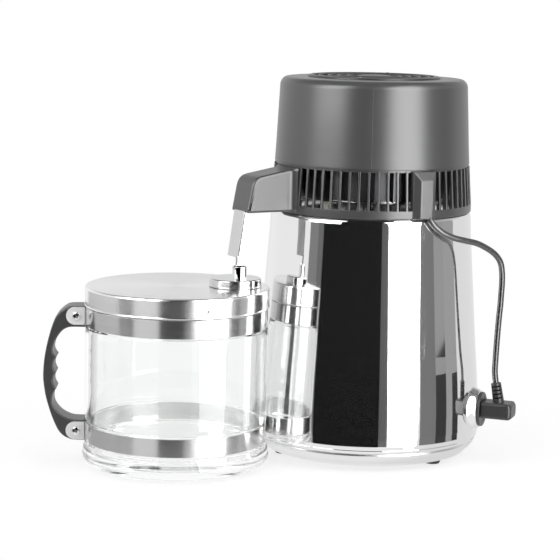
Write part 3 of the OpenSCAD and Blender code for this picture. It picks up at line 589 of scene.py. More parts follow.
socketHeight = 49
sockets = [
    {"name": "fanSocket", "node": "fan_socket", "azimuth": -50, "hole": 13.05, "barrel": 13,
     "flange": 16.3, "recess": (9.7, 17.2, 1.5), "deep": 103},
    {"name": "mainsInlet", "node": "mains_inlet", "azimuth": 90, "hole": 16.05, "barrel": 16,
     "flange": 17.2, "recess": (16, 24, 3), "deep": 100},
]
fanAzimuth = sockets[0]["azimuth"]
shellData = {
    "outer": [(104, 17.8), (105.2, 17.8, 0.4), (107.0, 19.2, 1.2), (107.45, 21.3, 0.5),
              (107.25, 21.75, 0.2), (107.65, 22.3, 0.4), (107.95, 25.5, 6), (108, 32, 20),
              (107.6, 48, 60), (106.9, 62, 60), (106, 76, 60), (105, 89.5, 80), (103.6, 105, 100),
              (95.7, 213, 60), (95, 228, 6), (94.6, 230.6, 2.5), (93.4, 232.5, 1.2), (92, 232.9, 0.5)],
    "inner": [(92, 231.9), (93.3, 229.8, 1), (93.8, 227.5, 4), (94.5, 213, 20), (102.4, 105, 40),
              (103.8, 89.5, 40), (104.8, 76, 40), (105.7, 62, 40), (106.3, 48, 20), (106.7, 32, 10),
              (106.5, 24.4, 2), (106, 20.2, 0.6), (105.2, 19), (104, 19)],
    "wall": 1.2, "patch": 33,
    # the pressed cups that hold the sockets: how far out their mouth is, and how they fall to the shell
    "cup": {"mouth": 114, "foot": 101, "reach": 23.3, "slope": 2.2034, "mouthRound": 2.6, "footRound": 3.2},
}


def smoothMax(a, b, width):
    gap = max(0.0, 1 - abs(a - b) / width)
    return max(a, b) + width * 0.25 * gap * gap


def smoothMin(a, b, width):
    return -smoothMax(-a, -b, width)


def radiusAt(line, height):
    for a, b in zip(line, line[1:]):
        if min(a.y, b.y) <= height <= max(a.y, b.y) and abs(b.y - a.y) > 1e-6:
            return a.x + (b.x - a.x) * (height - a.y) / (b.y - a.y)
    return line[-1].x


def buildShell(mesh):
    wall = filletLine(shellData["outer"], False, 6)
    patch, cup = shellData["patch"], shellData["cup"]
    outer = []
    for a, b in zip(wall, wall[1:]):
        pieces = max(1, round(abs(b.y - a.y) / 4))
        outer += [a + (b - a) * k / pieces for k in range(pieces)]
    outer.append(Vector(shellData["outer"][-1][:2]))
    lathe(mesh, outer + filletLine(shellData["inner"], False, 3), segments=320)
    gone = []
    for face in mesh.faces:
        spot = face.calc_center_median()
        for socket in sockets:
            turned = Matrix.Rotation(-radians(socket["azimuth"]), 3, "Z") @ spot
            if turned.x > 0 and hypot(turned.y, turned.z - socketHeight) < patch - 4:
                gone.append(face)
    bmesh.ops.delete(mesh, geom=gone, context="FACES")
    for socket in sockets:
        back, hole = Matrix.Rotation(radians(socket["azimuth"]), 3, "Z"), socket["hole"]
        # the pressed cup runs from its mouth out to the plain shell, then back inside
        reaches = [hole, hole + 0.6, hole + 1.4] + rounds(max(hole + 2, 16.8), 27, 24) + [29, 31, patch]
        rings = []
        for depth, sizes in ((shellData["wall"], list(reversed(reaches))), (0, reaches)):
            for size in sizes:
                ring = []
                for angle in evenAngles(144):
                    down, side = size * cos(angle), size * sin(angle)
                    flat = radiusAt(wall, socketHeight + down)
                    plain = sqrt(flat * flat - side * side) + (0.015 if size > 28 else 0)
                    pressed = cup["foot"] + (cup["reach"] - size) * cup["slope"]
                    pressed = smoothMin(cup["mouth"], pressed, cup["mouthRound"])
                    away = smoothMax(plain, pressed, cup["footRound"]) - depth
                    ring.append(mesh.verts.new(back @ Vector((away, side, socketHeight + down))))
                rings.append(ring)
        loopFaces(mesh, rings)


shell = meshPiece("boilerShell", buildShell)
finishPiece(shell, "shell", "boiler", ["outer_shell", "fan_boss", "mains_boss"], 50)

panData = {
    "line": [(0, 7.4), (94.5, 7.4, 0.3), (94.5, 5.2, 0.4), (96.5, 5.2, 0.8), (97.6, 7.6, 2),
             (101.8, 10.6, 6), (104.4, 13.6, 4), (105.35, 16.2, 2), (105, 17.75, 0.3), (104, 17.75),
             (104, 21), (102, 21, 0.4), (102, 17, 2), (99, 12.6, 3), (95, 9.4, 2), (0, 9.4)],
    "slots": 12, "firstSlot": 15, "slotSize": (18, 4, 1.9), "slotPlace": (61, 0, 9),
}


def buildPan(mesh):
    turnProfile(mesh, panData["line"], False, 4, segments=192)


def panSlot(turn):
    def build(mesh):
        levelSlab(mesh, roundedBox(*panData["slotSize"]), 4, 0.3, panData["slotPlace"])
        mesh.transform(Matrix.Rotation(radians(turn), 4, "Z"))
    return build


panTurns = [panData["firstSlot"] + 360 * k / panData["slots"] for k in range(panData["slots"])]
pan = meshPiece("basePan", buildPan, None, [panSlot(turn) for turn in panTurns])
finishPiece(pan, "panSteel", "boiler", ["base_pan"])

feetData = {
    "orbit": 83, "azimuths": (-72, 48, 168),
    "line": [(2.1, 2.6), (4.4, 2.6), (4.4, 0, 0.3), (6.6, 0, 0.5), (7.3, 1.2, 0.8), (7.5, 2.2, 1),
             (7.5, 4.8, 0.3), (7.0, 5.2, 0.3), (7.5, 5.6, 0.3), (7.5, 7.4), (2.1, 7.4)],
}


def buildFeet(mesh):
    for azimuth in feetData["azimuths"]:
        spot = (feetData["orbit"] * cos(radians(azimuth)), feetData["orbit"] * sin(radians(azimuth)))
        turnProfile(mesh, feetData["line"], centre=spot, segments=48)


feet = meshPiece("rubberFeet", buildFeet)
finishPiece(feet, "rubber", "boiler", ["rubber_feet"])


def makeSocket(spec):
    barrel, flange = spec["barrel"], spec["flange"]

    def build(mesh):
        turnProfile(mesh, [(0, 95), (barrel, 95, 0.6), (barrel, 114), (flange, 114, 0.3),
                           (flange, 116.5, 0.9), (barrel - 1.2, 116.5, 0.2), (barrel - 1.5, 116.2, 0.2),
                           (0, 116.2)], False, 4)

    def recess(mesh):
        levelSlab(mesh, roundedBox(*spec["recess"]), 10, 0.1, (0, 0, spec["deep"] + 10))
    piece = meshPiece(spec["name"], build, outward(spec["azimuth"], socketHeight), [recess])
    finishPiece(piece, "blackPlastic", "boiler", [spec["node"]])


for socket in sockets:
    makeSocket(socket)

resetPlace = outward(118, 46)


def buildBezel(mesh):
    turnProfile(mesh, [(5.4, 99), (5.4, 109.5, 0.4), (9.3, 109.5, 0.6), (9.5, 107.8), (8, 107.8), (8, 97),
                       (5.4, 97)], segments=64)


def buildButton(mesh):
    turnProfile(mesh, [(0, 102), (5, 102), (5, 111.2, 0.9), (3.2, 111.4, 0.6), (2.4, 111.0, 0.6),
                       (0, 110.9)], False, segments=64)


bezel = meshPiece("resetBezel", buildBezel, resetPlace)
finishPiece(bezel, "blackPlastic", "boiler", ["reset_bezel"])
button = meshPiece("resetButton", buildButton, resetPlace)
finishPiece(button, "redPlastic", "button", ["reset_button"])
print("boiler")

# Head

ringData = {
    "low": 233.4, "slotLow": 241, "slotHigh": 275.5, "top": 278,
    "r1": 94.9, "r2": 92.4, "wall": 2.4, "recess": 1.7,
    "ribs": 66, "phase": -91.1, "slotWidth": 6.9, "slotMiddle": 258,
    "armAzimuth": 180, "armReach": 12.5, "boxAzimuth": -91.6, "boxReach": 7,
}


def ringRadius(height):
    share = (height - ringData["slotLow"]) / (ringData["slotHigh"] - ringData["slotLow"])
    return ringData["r1"] - 0.1 + (ringData["r2"] - ringData["r1"] + 0.1) * min(max(share, 0), 1)


def nearTurn(azimuth, other):
    return abs((azimuth - other + 540) % 360 - 180)


def buildRing(mesh):
    r1, r2, wall = ringData["r1"], ringData["r2"], ringData["wall"]
    low, slotLow, slotHigh, top = (ringData[key] for key in ("low", "slotLow", "slotHigh", "top"))
    back = r2 - ringData["recess"]
    turnProfile(mesh, [(r1 - wall, low), (r1 - 0.5, low, 0.2), (r1, low + 0.8, 0.4),
                       (r1 - 0.05, slotLow, 0.4), (r1 - wall, slotLow, 0.2)], segments=288)
    # the top band lies back from the ribs and leaves a dark line under the cover
    turnProfile(mesh, [(r2 - wall, slotHigh, 0.2), (back, slotHigh, 0.3), (back, top - 0.05, 0.2),
                       (r2 - wall - 1, top - 0.05)], segments=288)
    pitch = 360 / ringData["ribs"]
    half = ringRadius(ringData["slotMiddle"]) * sin(radians(pitch / 2)) - ringData["slotWidth"] / 2
    section = filletLine([(-wall, -half, 0.3), (0, -half, 0.45), (0, half, 0.45),
                          (-wall, half, 0.3)], steps=3)
    plain = ((ringData["armAzimuth"], ringData["armReach"]), (ringData["boxAzimuth"], ringData["boxReach"]))

    def isSlot(k):
        middle = ringData["phase"] + pitch * (k + 0.5)
        return all(nearTurn(middle, azimuth) > reach for azimuth, reach in plain)
    for k in range(ringData["ribs"]):
        if not (isSlot(k) or isSlot(k - 1)):
            continue
        azimuth = radians(ringData["phase"] + pitch * k)
        loops = []
        for height in rounds(slotLow - 0.6, slotHigh + 0.6, 6):
            # a rib widens a little where it meets the bands
            flare = max(0.0, 1 - (height - slotLow) / 1.2) + max(0.0, 1 - (slotHigh - height) / 1.2)
            radius, widen = ringRadius(height), 1 + 0.15 * flare
            loops.append([((radius + p.x) * cos(azimuth) - p.y * widen * sin(azimuth),
                           (radius + p.x) * sin(azimuth) + p.y * widen * cos(azimuth), height)
                          for p in section])
        stackLoops(mesh, loops)
    # plain stretches behind the arm and the cable box
    for middle, reach in plain:
        cells = [k for k in range(-5, ringData["ribs"] - 5)
                 if nearTurn(ringData["phase"] + pitch * (k + 0.5), middle) <= reach]
        start = ringData["phase"] + pitch * min(cells)
        end = ringData["phase"] + pitch * (max(cells) + 1)
        loops = []
        for turn in rounds(radians(start), radians(end), 14):
            loops.append([((ringRadius(h) - d) * cos(turn), (ringRadius(h) - d) * sin(turn), h)
                          for d, h in ((wall, slotLow - 0.5), (0.02, slotLow - 0.5), (0.02, slotHigh + 0.5),
                                       (wall, slotHigh + 0.5))])
        stackLoops(mesh, loops)


ring = meshPiece("ventRing", buildRing)
finishPiece(ring, "headPlastic", "head", ["vent_ring"], 40)

domeData = {
    "line": [(91.0, 278.0, 0.1), (92.05, 278.05, 0.35), (92.0, 279.6, 0.4), (91.3, 291, 60),
             (90.5, 307, 80), (89.8, 322, 80), (88.7, 343.6, 40), (88.3, 352.5, 8), (84.5, 357.2, 6),
             (75, 357.6, 8), (61, 357.6, 0.5), (61, 355.1), (74.7, 355.1, 8), (84.6, 352, 8),
             (86.2, 343.6, 8), (87.3, 322), (88.0, 307), (88.8, 291), (89.5, 278.0)],
    "seam": -122.9,
    "seamSection": ((-0.3, -0.5), (0.03, -0.35), (0.11, 0), (0.03, 0.35), (-0.3, 0.5)),
}


def buildDome(mesh):
    turnProfile(mesh, domeData["line"], steps=8, segments=256)
    # fine mould line down the cover, over the outermost points of its wall
    outerWall = {}
    for p in filletLine(domeData["line"], True, 8):
        if p.x > 88.2 and 279 < p.y < 352 and (p.y < 343 or p.x > 88.62 - (p.y - 343) * 0.1):
            spot = (round(p.x, 3), round(p.y, 3))
            key = round(spot[1] / 6)
            outerWall[key] = max(outerWall.get(key, (0, 0)), spot)
    seam = radians(domeData["seam"])
    radial, side = Vector((cos(seam), sin(seam), 0)), Vector((-sin(seam), cos(seam), 0))
    stackLoops(mesh, [[radial * (x + out) + side * across + Vector((0, 0, y))
                       for out, across in domeData["seamSection"]]
                      for x, y in sorted(outerWall.values(), key=lambda p: p[1])])


dome = meshPiece("domeCover", buildDome)
finishPiece(dome, "headPlastic", "head", ["dome_cover"])

grilleData = {"low": 357.6, "rings": (24, 33, 42, 51), "wire": 2, "spokes": 12, "hub": 16}


def buildGrille(mesh):
    low, wire, hub = grilleData["low"], grilleData["wire"], grilleData["hub"]
    turnProfile(mesh, [(57, 354.6), (59.95, 354.6), (59.95, low, 0.2), (62.5, low, 0.2),
                       (62.3, low + 1.4, 0.5), (60.5, low + 2, 0.6), (57, low + 2, 0.6)], segments=128)
    for radius in grilleData["rings"]:
        turnProfile(mesh, [(radius, low, 0.3), (radius + wire, low, 0.3), (radius + wire, low + 1.9, 0.8),
                           (radius, low + 1.9, 0.8)], steps=3)
    turnProfile(mesh, [(0, low), (hub, low, 0.4), (hub, low + 1.6, 1), (hub - 5, low + 2.15, 1.5),
                       (0, low + 2.2)], False)
    section = filletLine([(-1, low - 1.4, 0.4), (1, low - 1.4, 0.4), (1, low + 1.1, 0.7),
                          (-1, low + 1.1, 0.7)], steps=3)
    for angle in evenAngles(grilleData["spokes"]):
        turn = Matrix.Rotation(angle, 3, "Z")
        stackLoops(mesh, [[turn @ Vector((reach, p.x, p.y)) for p in section]
                          for reach in (15, 30, 45, 57.5)])


grille = meshPiece("topGrille", buildGrille)
finishPiece(grille, "blackPlastic", "head", ["top_grille"])

fanData = {"height": 342, "hub": 20, "root": 18, "span": 37.6, "blades": 7, "pitch": 28, "chord": 15.5}


def buildFan(mesh):
    level, hub = fanData["height"], fanData["hub"]
    turnProfile(mesh, [(2, level - 2), (hub, level - 2, 0.5), (hub, level + 7.6, 1.6),
                       (6, level + 8.4, 1), (2, level + 8.4)])
    for angle in evenAngles(fanData["blades"]):
        turn = Matrix.Rotation(angle, 3, "Z")
        loops = []
        for share in rounds(0, 1, 8):
            reach = fanData["root"] + fanData["span"] * share
            # flatter toward the tip
            pitch = radians(fanData["pitch"] + 5 - 9 * share)
            chord = fanData["chord"] * (0.86 + 0.14 * sin(pi * share)) * (1 if share < 0.95 else 0.9)
            upper, lower = [], []
            for t in rounds(-0.5, 0.5, 8):
                camber = 1.5 * (1 - 4 * t * t)
                thick = 0.75 * sqrt(max(0.05, 1 - 4 * t * t * 0.96))
                for side, store in ((thick, upper), (-thick, lower)):
                    across, rise = t * chord, camber + side
                    store.append(turn @ Vector((reach, across * cos(pitch) - rise * sin(pitch),
                                                level + 2.6 + across * sin(pitch) + rise * cos(pitch))))
            loops.append(upper + list(reversed(lower)))
        stackLoops(mesh, loops)


fan = meshPiece("fanRotor", buildFan)
finishPiece(fan, "blackPlastic", "fan", ["fan_rotor"])

coilData = {"radius": 66, "tube": 3.2, "pitch": 8, "turns": 6.3333, "low": 241.3}


def coilLine():
    radius, pitch, low, steps = coilData["radius"], coilData["pitch"], coilData["low"], 48
    high = low + coilData["turns"] * pitch
    steam = [(0, 0, 234), (0, 0, 262), (1, -2, 278), (5, -10, high - 3), (18, -26, high + 0.3),
             (38, -36, high + 0.5), (55, -31, high + 0.5), (63.6, -16, high + 0.3)]
    drip = [(-51, 45, low), (-65, 30, low), (-76, 14, low), (-88, 3.4, low), (-104, 0, low),
            (-126, 0, low), (-133.6, 0, 240.2), (-136, 0, 236.4)]
    turning = []
    for k in range(round(coilData["turns"] * steps) + 1):
        angle = 2 * pi * k / steps
        turning.append(Vector((radius * cos(angle), radius * sin(angle), high - pitch * k / steps)))
    return (curveThrough(steam + [tuple(turning[0])], 6)[:-1] + turning[:-1]
            + curveThrough([tuple(turning[-1])] + drip, 6))


def buildCoil(mesh):
    sweepTube(mesh, coilLine(), coilData["tube"], 16, (1, 0, 0))


coil = meshPiece("condenserCoil", buildCoil)
finishPiece(coil, "coilSteel", "head", ["condenser_coil"])

armData = {
    "side": [(-91.5, 235.5), (-142.5, 235.5, 2.2), (-142.0, 239, 6), (-137.9, 260, 20), (-136.8, 263, 5),
             (-134.6, 266.2, 5), (-131.6, 268.2, 5), (-127.5, 269.4, 10), (-97.5, 274.6, 10),
             (-92.6, 276.1, 6), (-91.5, 276.2)],
    "half": 16, "edge": 2.6, "fillet": 7, "spread": 4.6, "widenTo": -92.2,
}


def buildArm(mesh):
    outline = filletLine(armData["side"], True, 5)
    slab(mesh, outline, armData["half"], armData["edge"], 6)
    # its foot widens in a fillet where it meets the ring
    fillet, half = armData["fillet"], armData["half"]
    middleY = half + fillet
    middleX = -sqrt((ringData["r1"] + fillet) ** 2 - middleY ** 2)
    for x in rounds(middleX, armData["widenTo"], 8):
        bmesh.ops.bisect_plane(mesh, geom=mesh.verts[:] + mesh.edges[:] + mesh.faces[:], plane_co=(x, 0, 0),
                               plane_no=(1, 0, 0))
    for vert in mesh.verts:
        if vert.co.x > middleX:
            over = min(vert.co.x - middleX, fillet * 0.995)
            spread = min(fillet - sqrt(fillet * fillet - over * over), armData["spread"])
            vert.co.y += spread * vert.co.y / half


arm = meshPiece("spoutArm", buildArm)
finishPiece(arm, "headPlastic", "head", ["spout_arm"])


def ribbonLoops(stations, thick, edge):
    # stations are (x, y, normal x, normal y, low, high); all four long edges are rounded
    t, e, r = thick / 2, edge, 0.3 * edge
    loops = []
    for x, y, nx, ny, low, high in stations:
        loops.append([(x + nx * a, y + ny * a, z) for a, z in (
            (-t, low + e), (-t, high - e), (-t + r, high - r), (-t + e, high), (t - e, high),
            (t - r, high - r), (t, high - e), (t, low + e), (t - r, low + r), (t - e, low), (-t + e, low),
            (-t + r, low + r))])
    return loops


def ribbonPath(points, low, high, steps=6):
    # plan path with fillets, as ribbon stations with their normals
    line = filletLine(points, False, steps)
    stations = []
    for i, point in enumerate(line):
        along = (line[min(i + 1, len(line) - 1)] - line[max(i - 1, 0)]).normalized()
        stations.append((point.x, point.y, -along.y, along.x, low, high))
    return stations


spoutData = {
    # bent strips of sheet: plan, low and high
    "plate": ([(0.45, 10), (0.45, -9.55, 1.1), (3.75, -9.55)], -40.5, 5.5),
    "tongue": ([(-143.7, -9.55), (-149.15, -9.55, 0.9), (-149.15, -7.45)], 187.35, 195.6),
    "thick": 0.9, "edge": 0.2, "top": (-142.6, 0, 234.6), "tilt": 8.5,
}


def buildSpout(part):
    def build(mesh):
        stackLoops(mesh, ribbonLoops(ribbonPath(*spoutData[part]), spoutData["thick"], spoutData["edge"]))
    return build


spoutPlace = Matrix.Translation(spoutData["top"]) @ Matrix.Rotation(radians(spoutData["tilt"]), 4, "Y")
spout = meshPiece("dripSpout", buildSpout("plate"), spoutPlace)
finishPiece(spout, "spoutSteel", "head", ["drip_spout"])
tongue = meshPiece("spoutTongue", buildSpout("tongue"))
finishPiece(tongue, "spoutSteel", "head", ["spout_tongue"])

boxData = {
    # reach, half width and top of the back, shoulder and front corners
    "corners": ((90, 12.2, 276.9), (94.6, 12, 276.9), (99.75, 6.6, 269)), "low": 233.65, "bevel": 0.9,
}


def buildCableBox(mesh):
    corners = [(reach, side * half, z) for reach, half, top in boxData["corners"]
               for side in (-1, 1) for z in (boxData["low"], top)]
    hull = bmesh.ops.convex_hull(mesh, input=[mesh.verts.new(c) for c in corners])
    inside = [g for g in hull["geom_interior"] if isinstance(g, bmesh.types.BMVert)]
    bmesh.ops.delete(mesh, geom=inside, context="VERTS")
    bmesh.ops.dissolve_limit(mesh, angle_limit=radians(3), verts=mesh.verts[:], edges=mesh.edges[:])
    bmesh.ops.bevel(mesh, geom=mesh.edges[:], offset=boxData["bevel"], segments=4, profile=0.5,
                    affect="EDGES")


cableBox = meshPiece("cableBox", buildCableBox, Matrix.Rotation(radians(ringData["boxAzimuth"]), 4, "Z"))
finishPiece(cableBox, "headPlastic", "head", ["cable_box"])
print("head")

# Fan lead

leadData = {
    "radius": 2.85,
    "upper": [(2.4, -97, 236), (2.6, -97.7, 232.6), (6, -99.3, 227.7), (14, -100.8, 221.4),
              (26, -101.6, 216), (39, -102, 212.7), (52, -102, 209.6), (63, -101.8, 204.8),
              (73.4, -101.3, 198.5), (80.4, -100.8, 190.6), (83.2, -100.3, 181), (83.8, -100.1, 170),
              (83.44, -100.01, 161), (83.4, -100, 160)],
    "lower": [(83.4, -100, 160), (83.36, -99.99, 159), (83, -99.9, 150), (82.3, -99.6, 140),
              (81.6, -99.2, 126), (81.1, -98.8, 112), (81, -98.2, 99), (81.2, -97.5, 86),
              (82.3, -98.2, 75.4)],
}


def makeLead(name, key):
    line = curveThrough(leadData[key], 8)

    def build(mesh):
        sweepTube(mesh, line, leadData["radius"], 24)
    piece = meshPiece(name, build)
    finishPiece(piece, "cordSheath", None, ["lead_" + key])
    return piece, [p * mm for p in line]


def plugSection(away, width, height, radius, drop):
    return [(p.x - drop, p.y, away) for p in roundedBox(width, height, radius, 6)]


plugData = {
    # reach from the axis, width, height, corner radius and drop
    "grip": [(117.0, 14.6, 22.2, 2.6, 0.8), (117.3, 15.2, 22.8, 2.9, 0.8), (117.9, 15.4, 23, 3, 0.8),
             (124, 15.4, 23, 3, 0.8), (136, 15.4, 23, 3, 0.8), (142.4, 15.4, 23, 3, 0.8),
             (143.3, 15.2, 22.7, 3.2, 0.8), (144.4, 14.3, 21.7, 3.5, 0.8), (145.3, 12.9, 20.2, 3.9, 0.8),
             (145.85, 11.6, 18.8, 4, 0.8), (145.95, 10.6, 17.8, 4, 0.8)],
    "nose": [(103.5, 8.3, 15.8, 1.2, 0), (103.9, 8.9, 16.4, 1.4, 0), (117.8, 8.9, 16.4, 1.4, 0)],
    "hole": 1.9, "holeSpacing": 3.5,
}


def buildPlug(mesh):
    for part in ("grip", "nose"):
        stackLoops(mesh, [plugSection(*section) for section in plugData[part]])


def plugHole(side):
    def build(mesh):
        hole, spacing = plugData["hole"], plugData["holeSpacing"]
        lathe(mesh, [(0, 102), (hole, 102), (hole, 116), (0, 116)], (0, side * spacing), 24, False)
    return build


plug = meshPiece("leadPlug", buildPlug, outward(fanAzimuth, socketHeight), [plugHole(-1), plugHole(1)])
finishPiece(plug, "blackPlastic", "plug", ["lead_plug"])

reliefData = {"low": 54, "tilt": -10, "rows": 4, "slot": (13, 6, 0.6)}
reliefTop = Vector(leadData["lower"][-1])
reliefHeight = reliefTop.z - reliefData["low"]
reliefPlace = (Matrix.Rotation(radians(fanAzimuth), 4, "Z")
               @ Matrix.Translation((hypot(reliefTop.x, reliefTop.y), 0, reliefTop.z))
               @ Matrix.Rotation(radians(reliefData["tilt"]), 4, "Y")
               @ Matrix.Translation((0, 0, -reliefHeight)))


def buildRelief(mesh):
    height = reliefHeight
    turnProfile(mesh, [(0, 0), (5.4, 0), (4.95, height * 0.6, 30), (4.7, height - 0.05, 0.6),
                       (3.4, height - 0.05, 0.2), (0, height - 0.3)], False, segments=40)


def reliefSlot(row, side):
    def build(mesh):
        high = reliefHeight - 3.2 - 3.6 * row
        levelSlab(mesh, roundedBox(*reliefData["slot"]), 0.8, 0.1, (0, side * 4.6, high))
    return build


relief = meshPiece("leadRelief", buildRelief, reliefPlace,
                   [reliefSlot(row, side) for row in range(reliefData["rows"]) for side in (-1, 1)])
finishPiece(relief, "blackPlastic", "plug", ["lead_relief"])

leadUpper, upperLine = makeLead("leadUpper", "upper")
leadLower, lowerLine = makeLead("leadLower", "lower")
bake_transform(leadUpper)
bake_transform(leadLower)
print("fan lead")

# Jug

jugPlace = Matrix.Translation((*jugCentre, 0))
handleData = {"half": 13.5, "edge": 1.7, "azimuth": 151, "glassWall": 84.6}
handlePlace = jugPlace @ Matrix.Rotation(radians(handleData["azimuth"]), 4, "Z")
# radius of the glass behind its bands
neck = 82.9
glassData = {
    "line": [(0, 2.2), (70, 2.2, 2), (74, 0.05, 0.8), (78.6, 0.05, 1.2), (82.8, 2.6, 4), (86.1, 7.2, 4),
             (86.45, 10.4, 4), (85.8, 16, 8), (84.4, 21, 1.5), (82.85, 22.4, 0.5), (82.85, 40.4, 0.6),
             (84.2, 41.8, 2), (84.5, 47, 12), (84.5, 123, 12), (84.2, 128.4, 2), (82.85, 130, 0.6),
             (82.85, 147.6, 1.6), (79.45, 147.6, 1.6), (79.45, 27, 12), (78.6, 20, 8), (76, 16, 6),
             (71.5, 13.2, 8), (62, 12.45, 12), (0, 12.45)],
}


def buildGlass(mesh):
    turnProfile(mesh, glassData["line"], False, 7, centre=jugCentre, segments=192)


glass = meshPiece("jugGlass", buildGlass)
finishPiece(glass, "glass", "jug", ["jug_glass", "jug_foot"], 60)

bandData = {
    "mid": neck + 0.5, "thick": 0.9, "height": 16.5, "edge": 0.18, "upperLow": 130.4, "lowerLow": 23.2,
    "tabLine": 14.1, "tabStart": 84.6, "tabEnd": 101.15, "bend": 1.3,
}


def bandStations(low):
    mid, tab, bend = bandData["mid"], bandData["tabLine"], bandData["bend"]
    high = low + bandData["height"]
    level, reach = (low + high) / 2, bandData["height"] / 2
    bendY = tab + bend
    bendX = sqrt((mid + bend) ** 2 - bendY ** 2)
    turned = atan2(bendY, bendX)
    half = []
    for angle in rounds(pi, turned, 90):
        half.append((mid * cos(angle), mid * sin(angle), cos(angle), sin(angle), low, high))
    # the band bends outward into the tab
    for k in range(1, 9):
        angle = pi + turned + (1.5 * pi - pi - turned) * k / 8
        half.append((bendX + bend * cos(angle), bendY + bend * sin(angle), -cos(angle), -sin(angle),
                     low, high))
    end = bandData["tabEnd"]
    straight = rounds(bendX + 0.8, end - reach, 4)
    curved = [end - reach + reach * sin(pi / 2 * k / 14) for k in range(1, 14)] + [end - 0.02]
    for x in straight + curved:
        over = max(0.0, x - (end - reach))
        tall = sqrt(max(0.16, reach * reach - over * over))
        half.append((x, tab, 0, 1, level - tall, level + tall))
    mirrored = [(x, -y, nx, -ny, a, b) for x, y, nx, ny, a, b in half]
    return list(reversed(mirrored)) + half[1:]


def makeBand(name, low, nodes):
    def build(mesh):
        stackLoops(mesh, ribbonLoops(bandStations(low), bandData["thick"], bandData["edge"]))
    piece = meshPiece(name, build)
    # the flat tabs beside the handle have a plain satin face, a rougher and lighter copy of the band steel
    # whose lighter colour is painted light on the tabs
    tabs = [face.index for face in piece.data.polygons if face.center.x > bandData["tabStart"] * mm]
    piece.data.transform(Matrix.Translation(handlePlace.translation * mm) @ handlePlace.to_3x3().to_4x4())
    finishPiece(piece, "bandSteel", "jug", nodes)
    piece.data.materials.append(finishes["tabSteelPaintedLight"])
    for index in tabs:
        piece.data.polygons[index].material_index = 1
    return piece


bands = [makeBand("upperBand", bandData["upperLow"], ["upper_band", "handle_tabs"]),
         makeBand("lowerBand", bandData["lowerLow"], ["lower_band"])]


def sideOutline(node, place, level):
    # outline of a CAD piece's flat side, read from the frame, in the piece's own plane
    turn = place.inverted()
    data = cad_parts[node].data
    points = [turn @ (v.co * 1000) for v in data.vertices]
    key = {}
    for index, p in enumerate(points):
        if abs(p.y - level) < 0.02:
            key[index] = (round(p.x, 2), round(p.z, 2))
    count = {}
    for face in data.polygons:
        names = [key.get(v) for v in face.vertices]
        if None in names:
            continue
        for a, b in zip(names, names[1:] + names[:1]):
            if a != b:
                count[frozenset((a, b))] = count.get(frozenset((a, b)), 0) + 1
    nearby = {}
    for edge, uses in count.items():
        if uses == 1:
            a, b = tuple(edge)
            nearby.setdefault(a, []).append(b)
            nearby.setdefault(b, []).append(a)
    loops = []
    while nearby:
        start = min(nearby)
        loop, here, last = [start], start, None
        while True:
            onward = [p for p in nearby[here] if p != last and (p not in loop or p == start)]
            if not onward or (onward[0] == start and len(loop) > 2):
                break
            last, here = here, onward[0]
            if here == start:
                break
            loop.append(here)
        for p in loop:
            nearby.pop(p, None)
        loops.append(loop)
    return max(loops, key=len)


def smoothCorners(loop, limit=50, steps=3):
    # curve through the gentle corners, small fillets on the sharp ones
    points = [Vector(p) for p in loop]
    count = len(points)
    sharpAt = []
    for i in range(count):
        a, b = points[i] - points[i - 1], points[(i + 1) % count] - points[i]
        if degrees(a.angle(b)) > limit:
            sharpAt.append(i)
    result = []
    for n, start in enumerate(sharpAt):
        end = sharpAt[(n + 1) % len(sharpAt)]
        run = [points[(start + k) % count] for k in range((end - start) % count + 1)]
        result += curveThrough([tuple(p) for p in run], steps if len(run) > 2 else 1)[:-1]
    return result


def buildHandle(mesh):
    loop = sideOutline("jug_handle", handlePlace, handleData["half"])
    outline = smoothCorners(loop)
    half, edge = handleData["half"], handleData["edge"]
    inner = rounds(-half + edge, half - edge, 8)[1:-1]
    slab(mesh, outline, half - 0.02, edge, 5, inner)
    # its feet follow the glass, which is narrower behind the bands
    for vert in mesh.verts:
        x, y, z = vert.co
        wall = neck + 0.08 if 22 < z < 40.6 or z > 129.8 else handleData["glassWall"]
        if x < 84.2 and hypot(x, y) < wall + 0.9:
            vert.co.x = sqrt(wall * wall - y * y)


handle = meshPiece("jugHandle", buildHandle, handlePlace)
finishPiece(handle, "handlePlastic", "jug", ["jug_handle"])

boltData = {
    "reach": 91.5, "levels": {"upperBolt": 138.65, "lowerBolt": 31.45}, "nut": 3.9, "crossTurn": 0.5,
}


def boltPlace(level):
    middle = Matrix.Translation((boltData["reach"], 0, level))
    return handlePlace @ middle @ Matrix.Rotation(-pi / 2, 4, "X")


def buildBolt(mesh):
    turnProfile(mesh, [(0, -17.4), (2, -17.4, 0.4), (2, 14.7), (4, 14.7), (4, 15.6, 0.3),
                       (3.4, 16.7, 1.2), (1.6, 17.05, 1), (0, 17.1)], False, 4, segments=40)
    nut = [Vector((boltData["nut"] * cos(angle), boltData["nut"] * sin(angle))) for angle in evenAngles(6)]
    levelSlab(mesh, nut, 1.4, 0.35, (0, 0, -16.1), 2)


def boltCross(turn):
    def build(mesh):
        levelSlab(mesh, roundedBox(5.2, 0.9, 0.2), 0.7, 0.1, (0, 0, 16.9))
        mesh.transform(Matrix.Rotation(turn, 4, "Z"))
    return build


bolts = []
crossCuts = [boltCross(boltData["crossTurn"]), boltCross(boltData["crossTurn"] + pi / 2)]
for name, level in boltData["levels"].items():
    bolt = meshPiece(name, buildBolt, boltPlace(level), crossCuts)
    finishPiece(bolt, "screwSteel", "jug", [] if bolts else ["handle_bolts"])
    bolts.append(bolt)
print("jug")

# Lid and filter cap

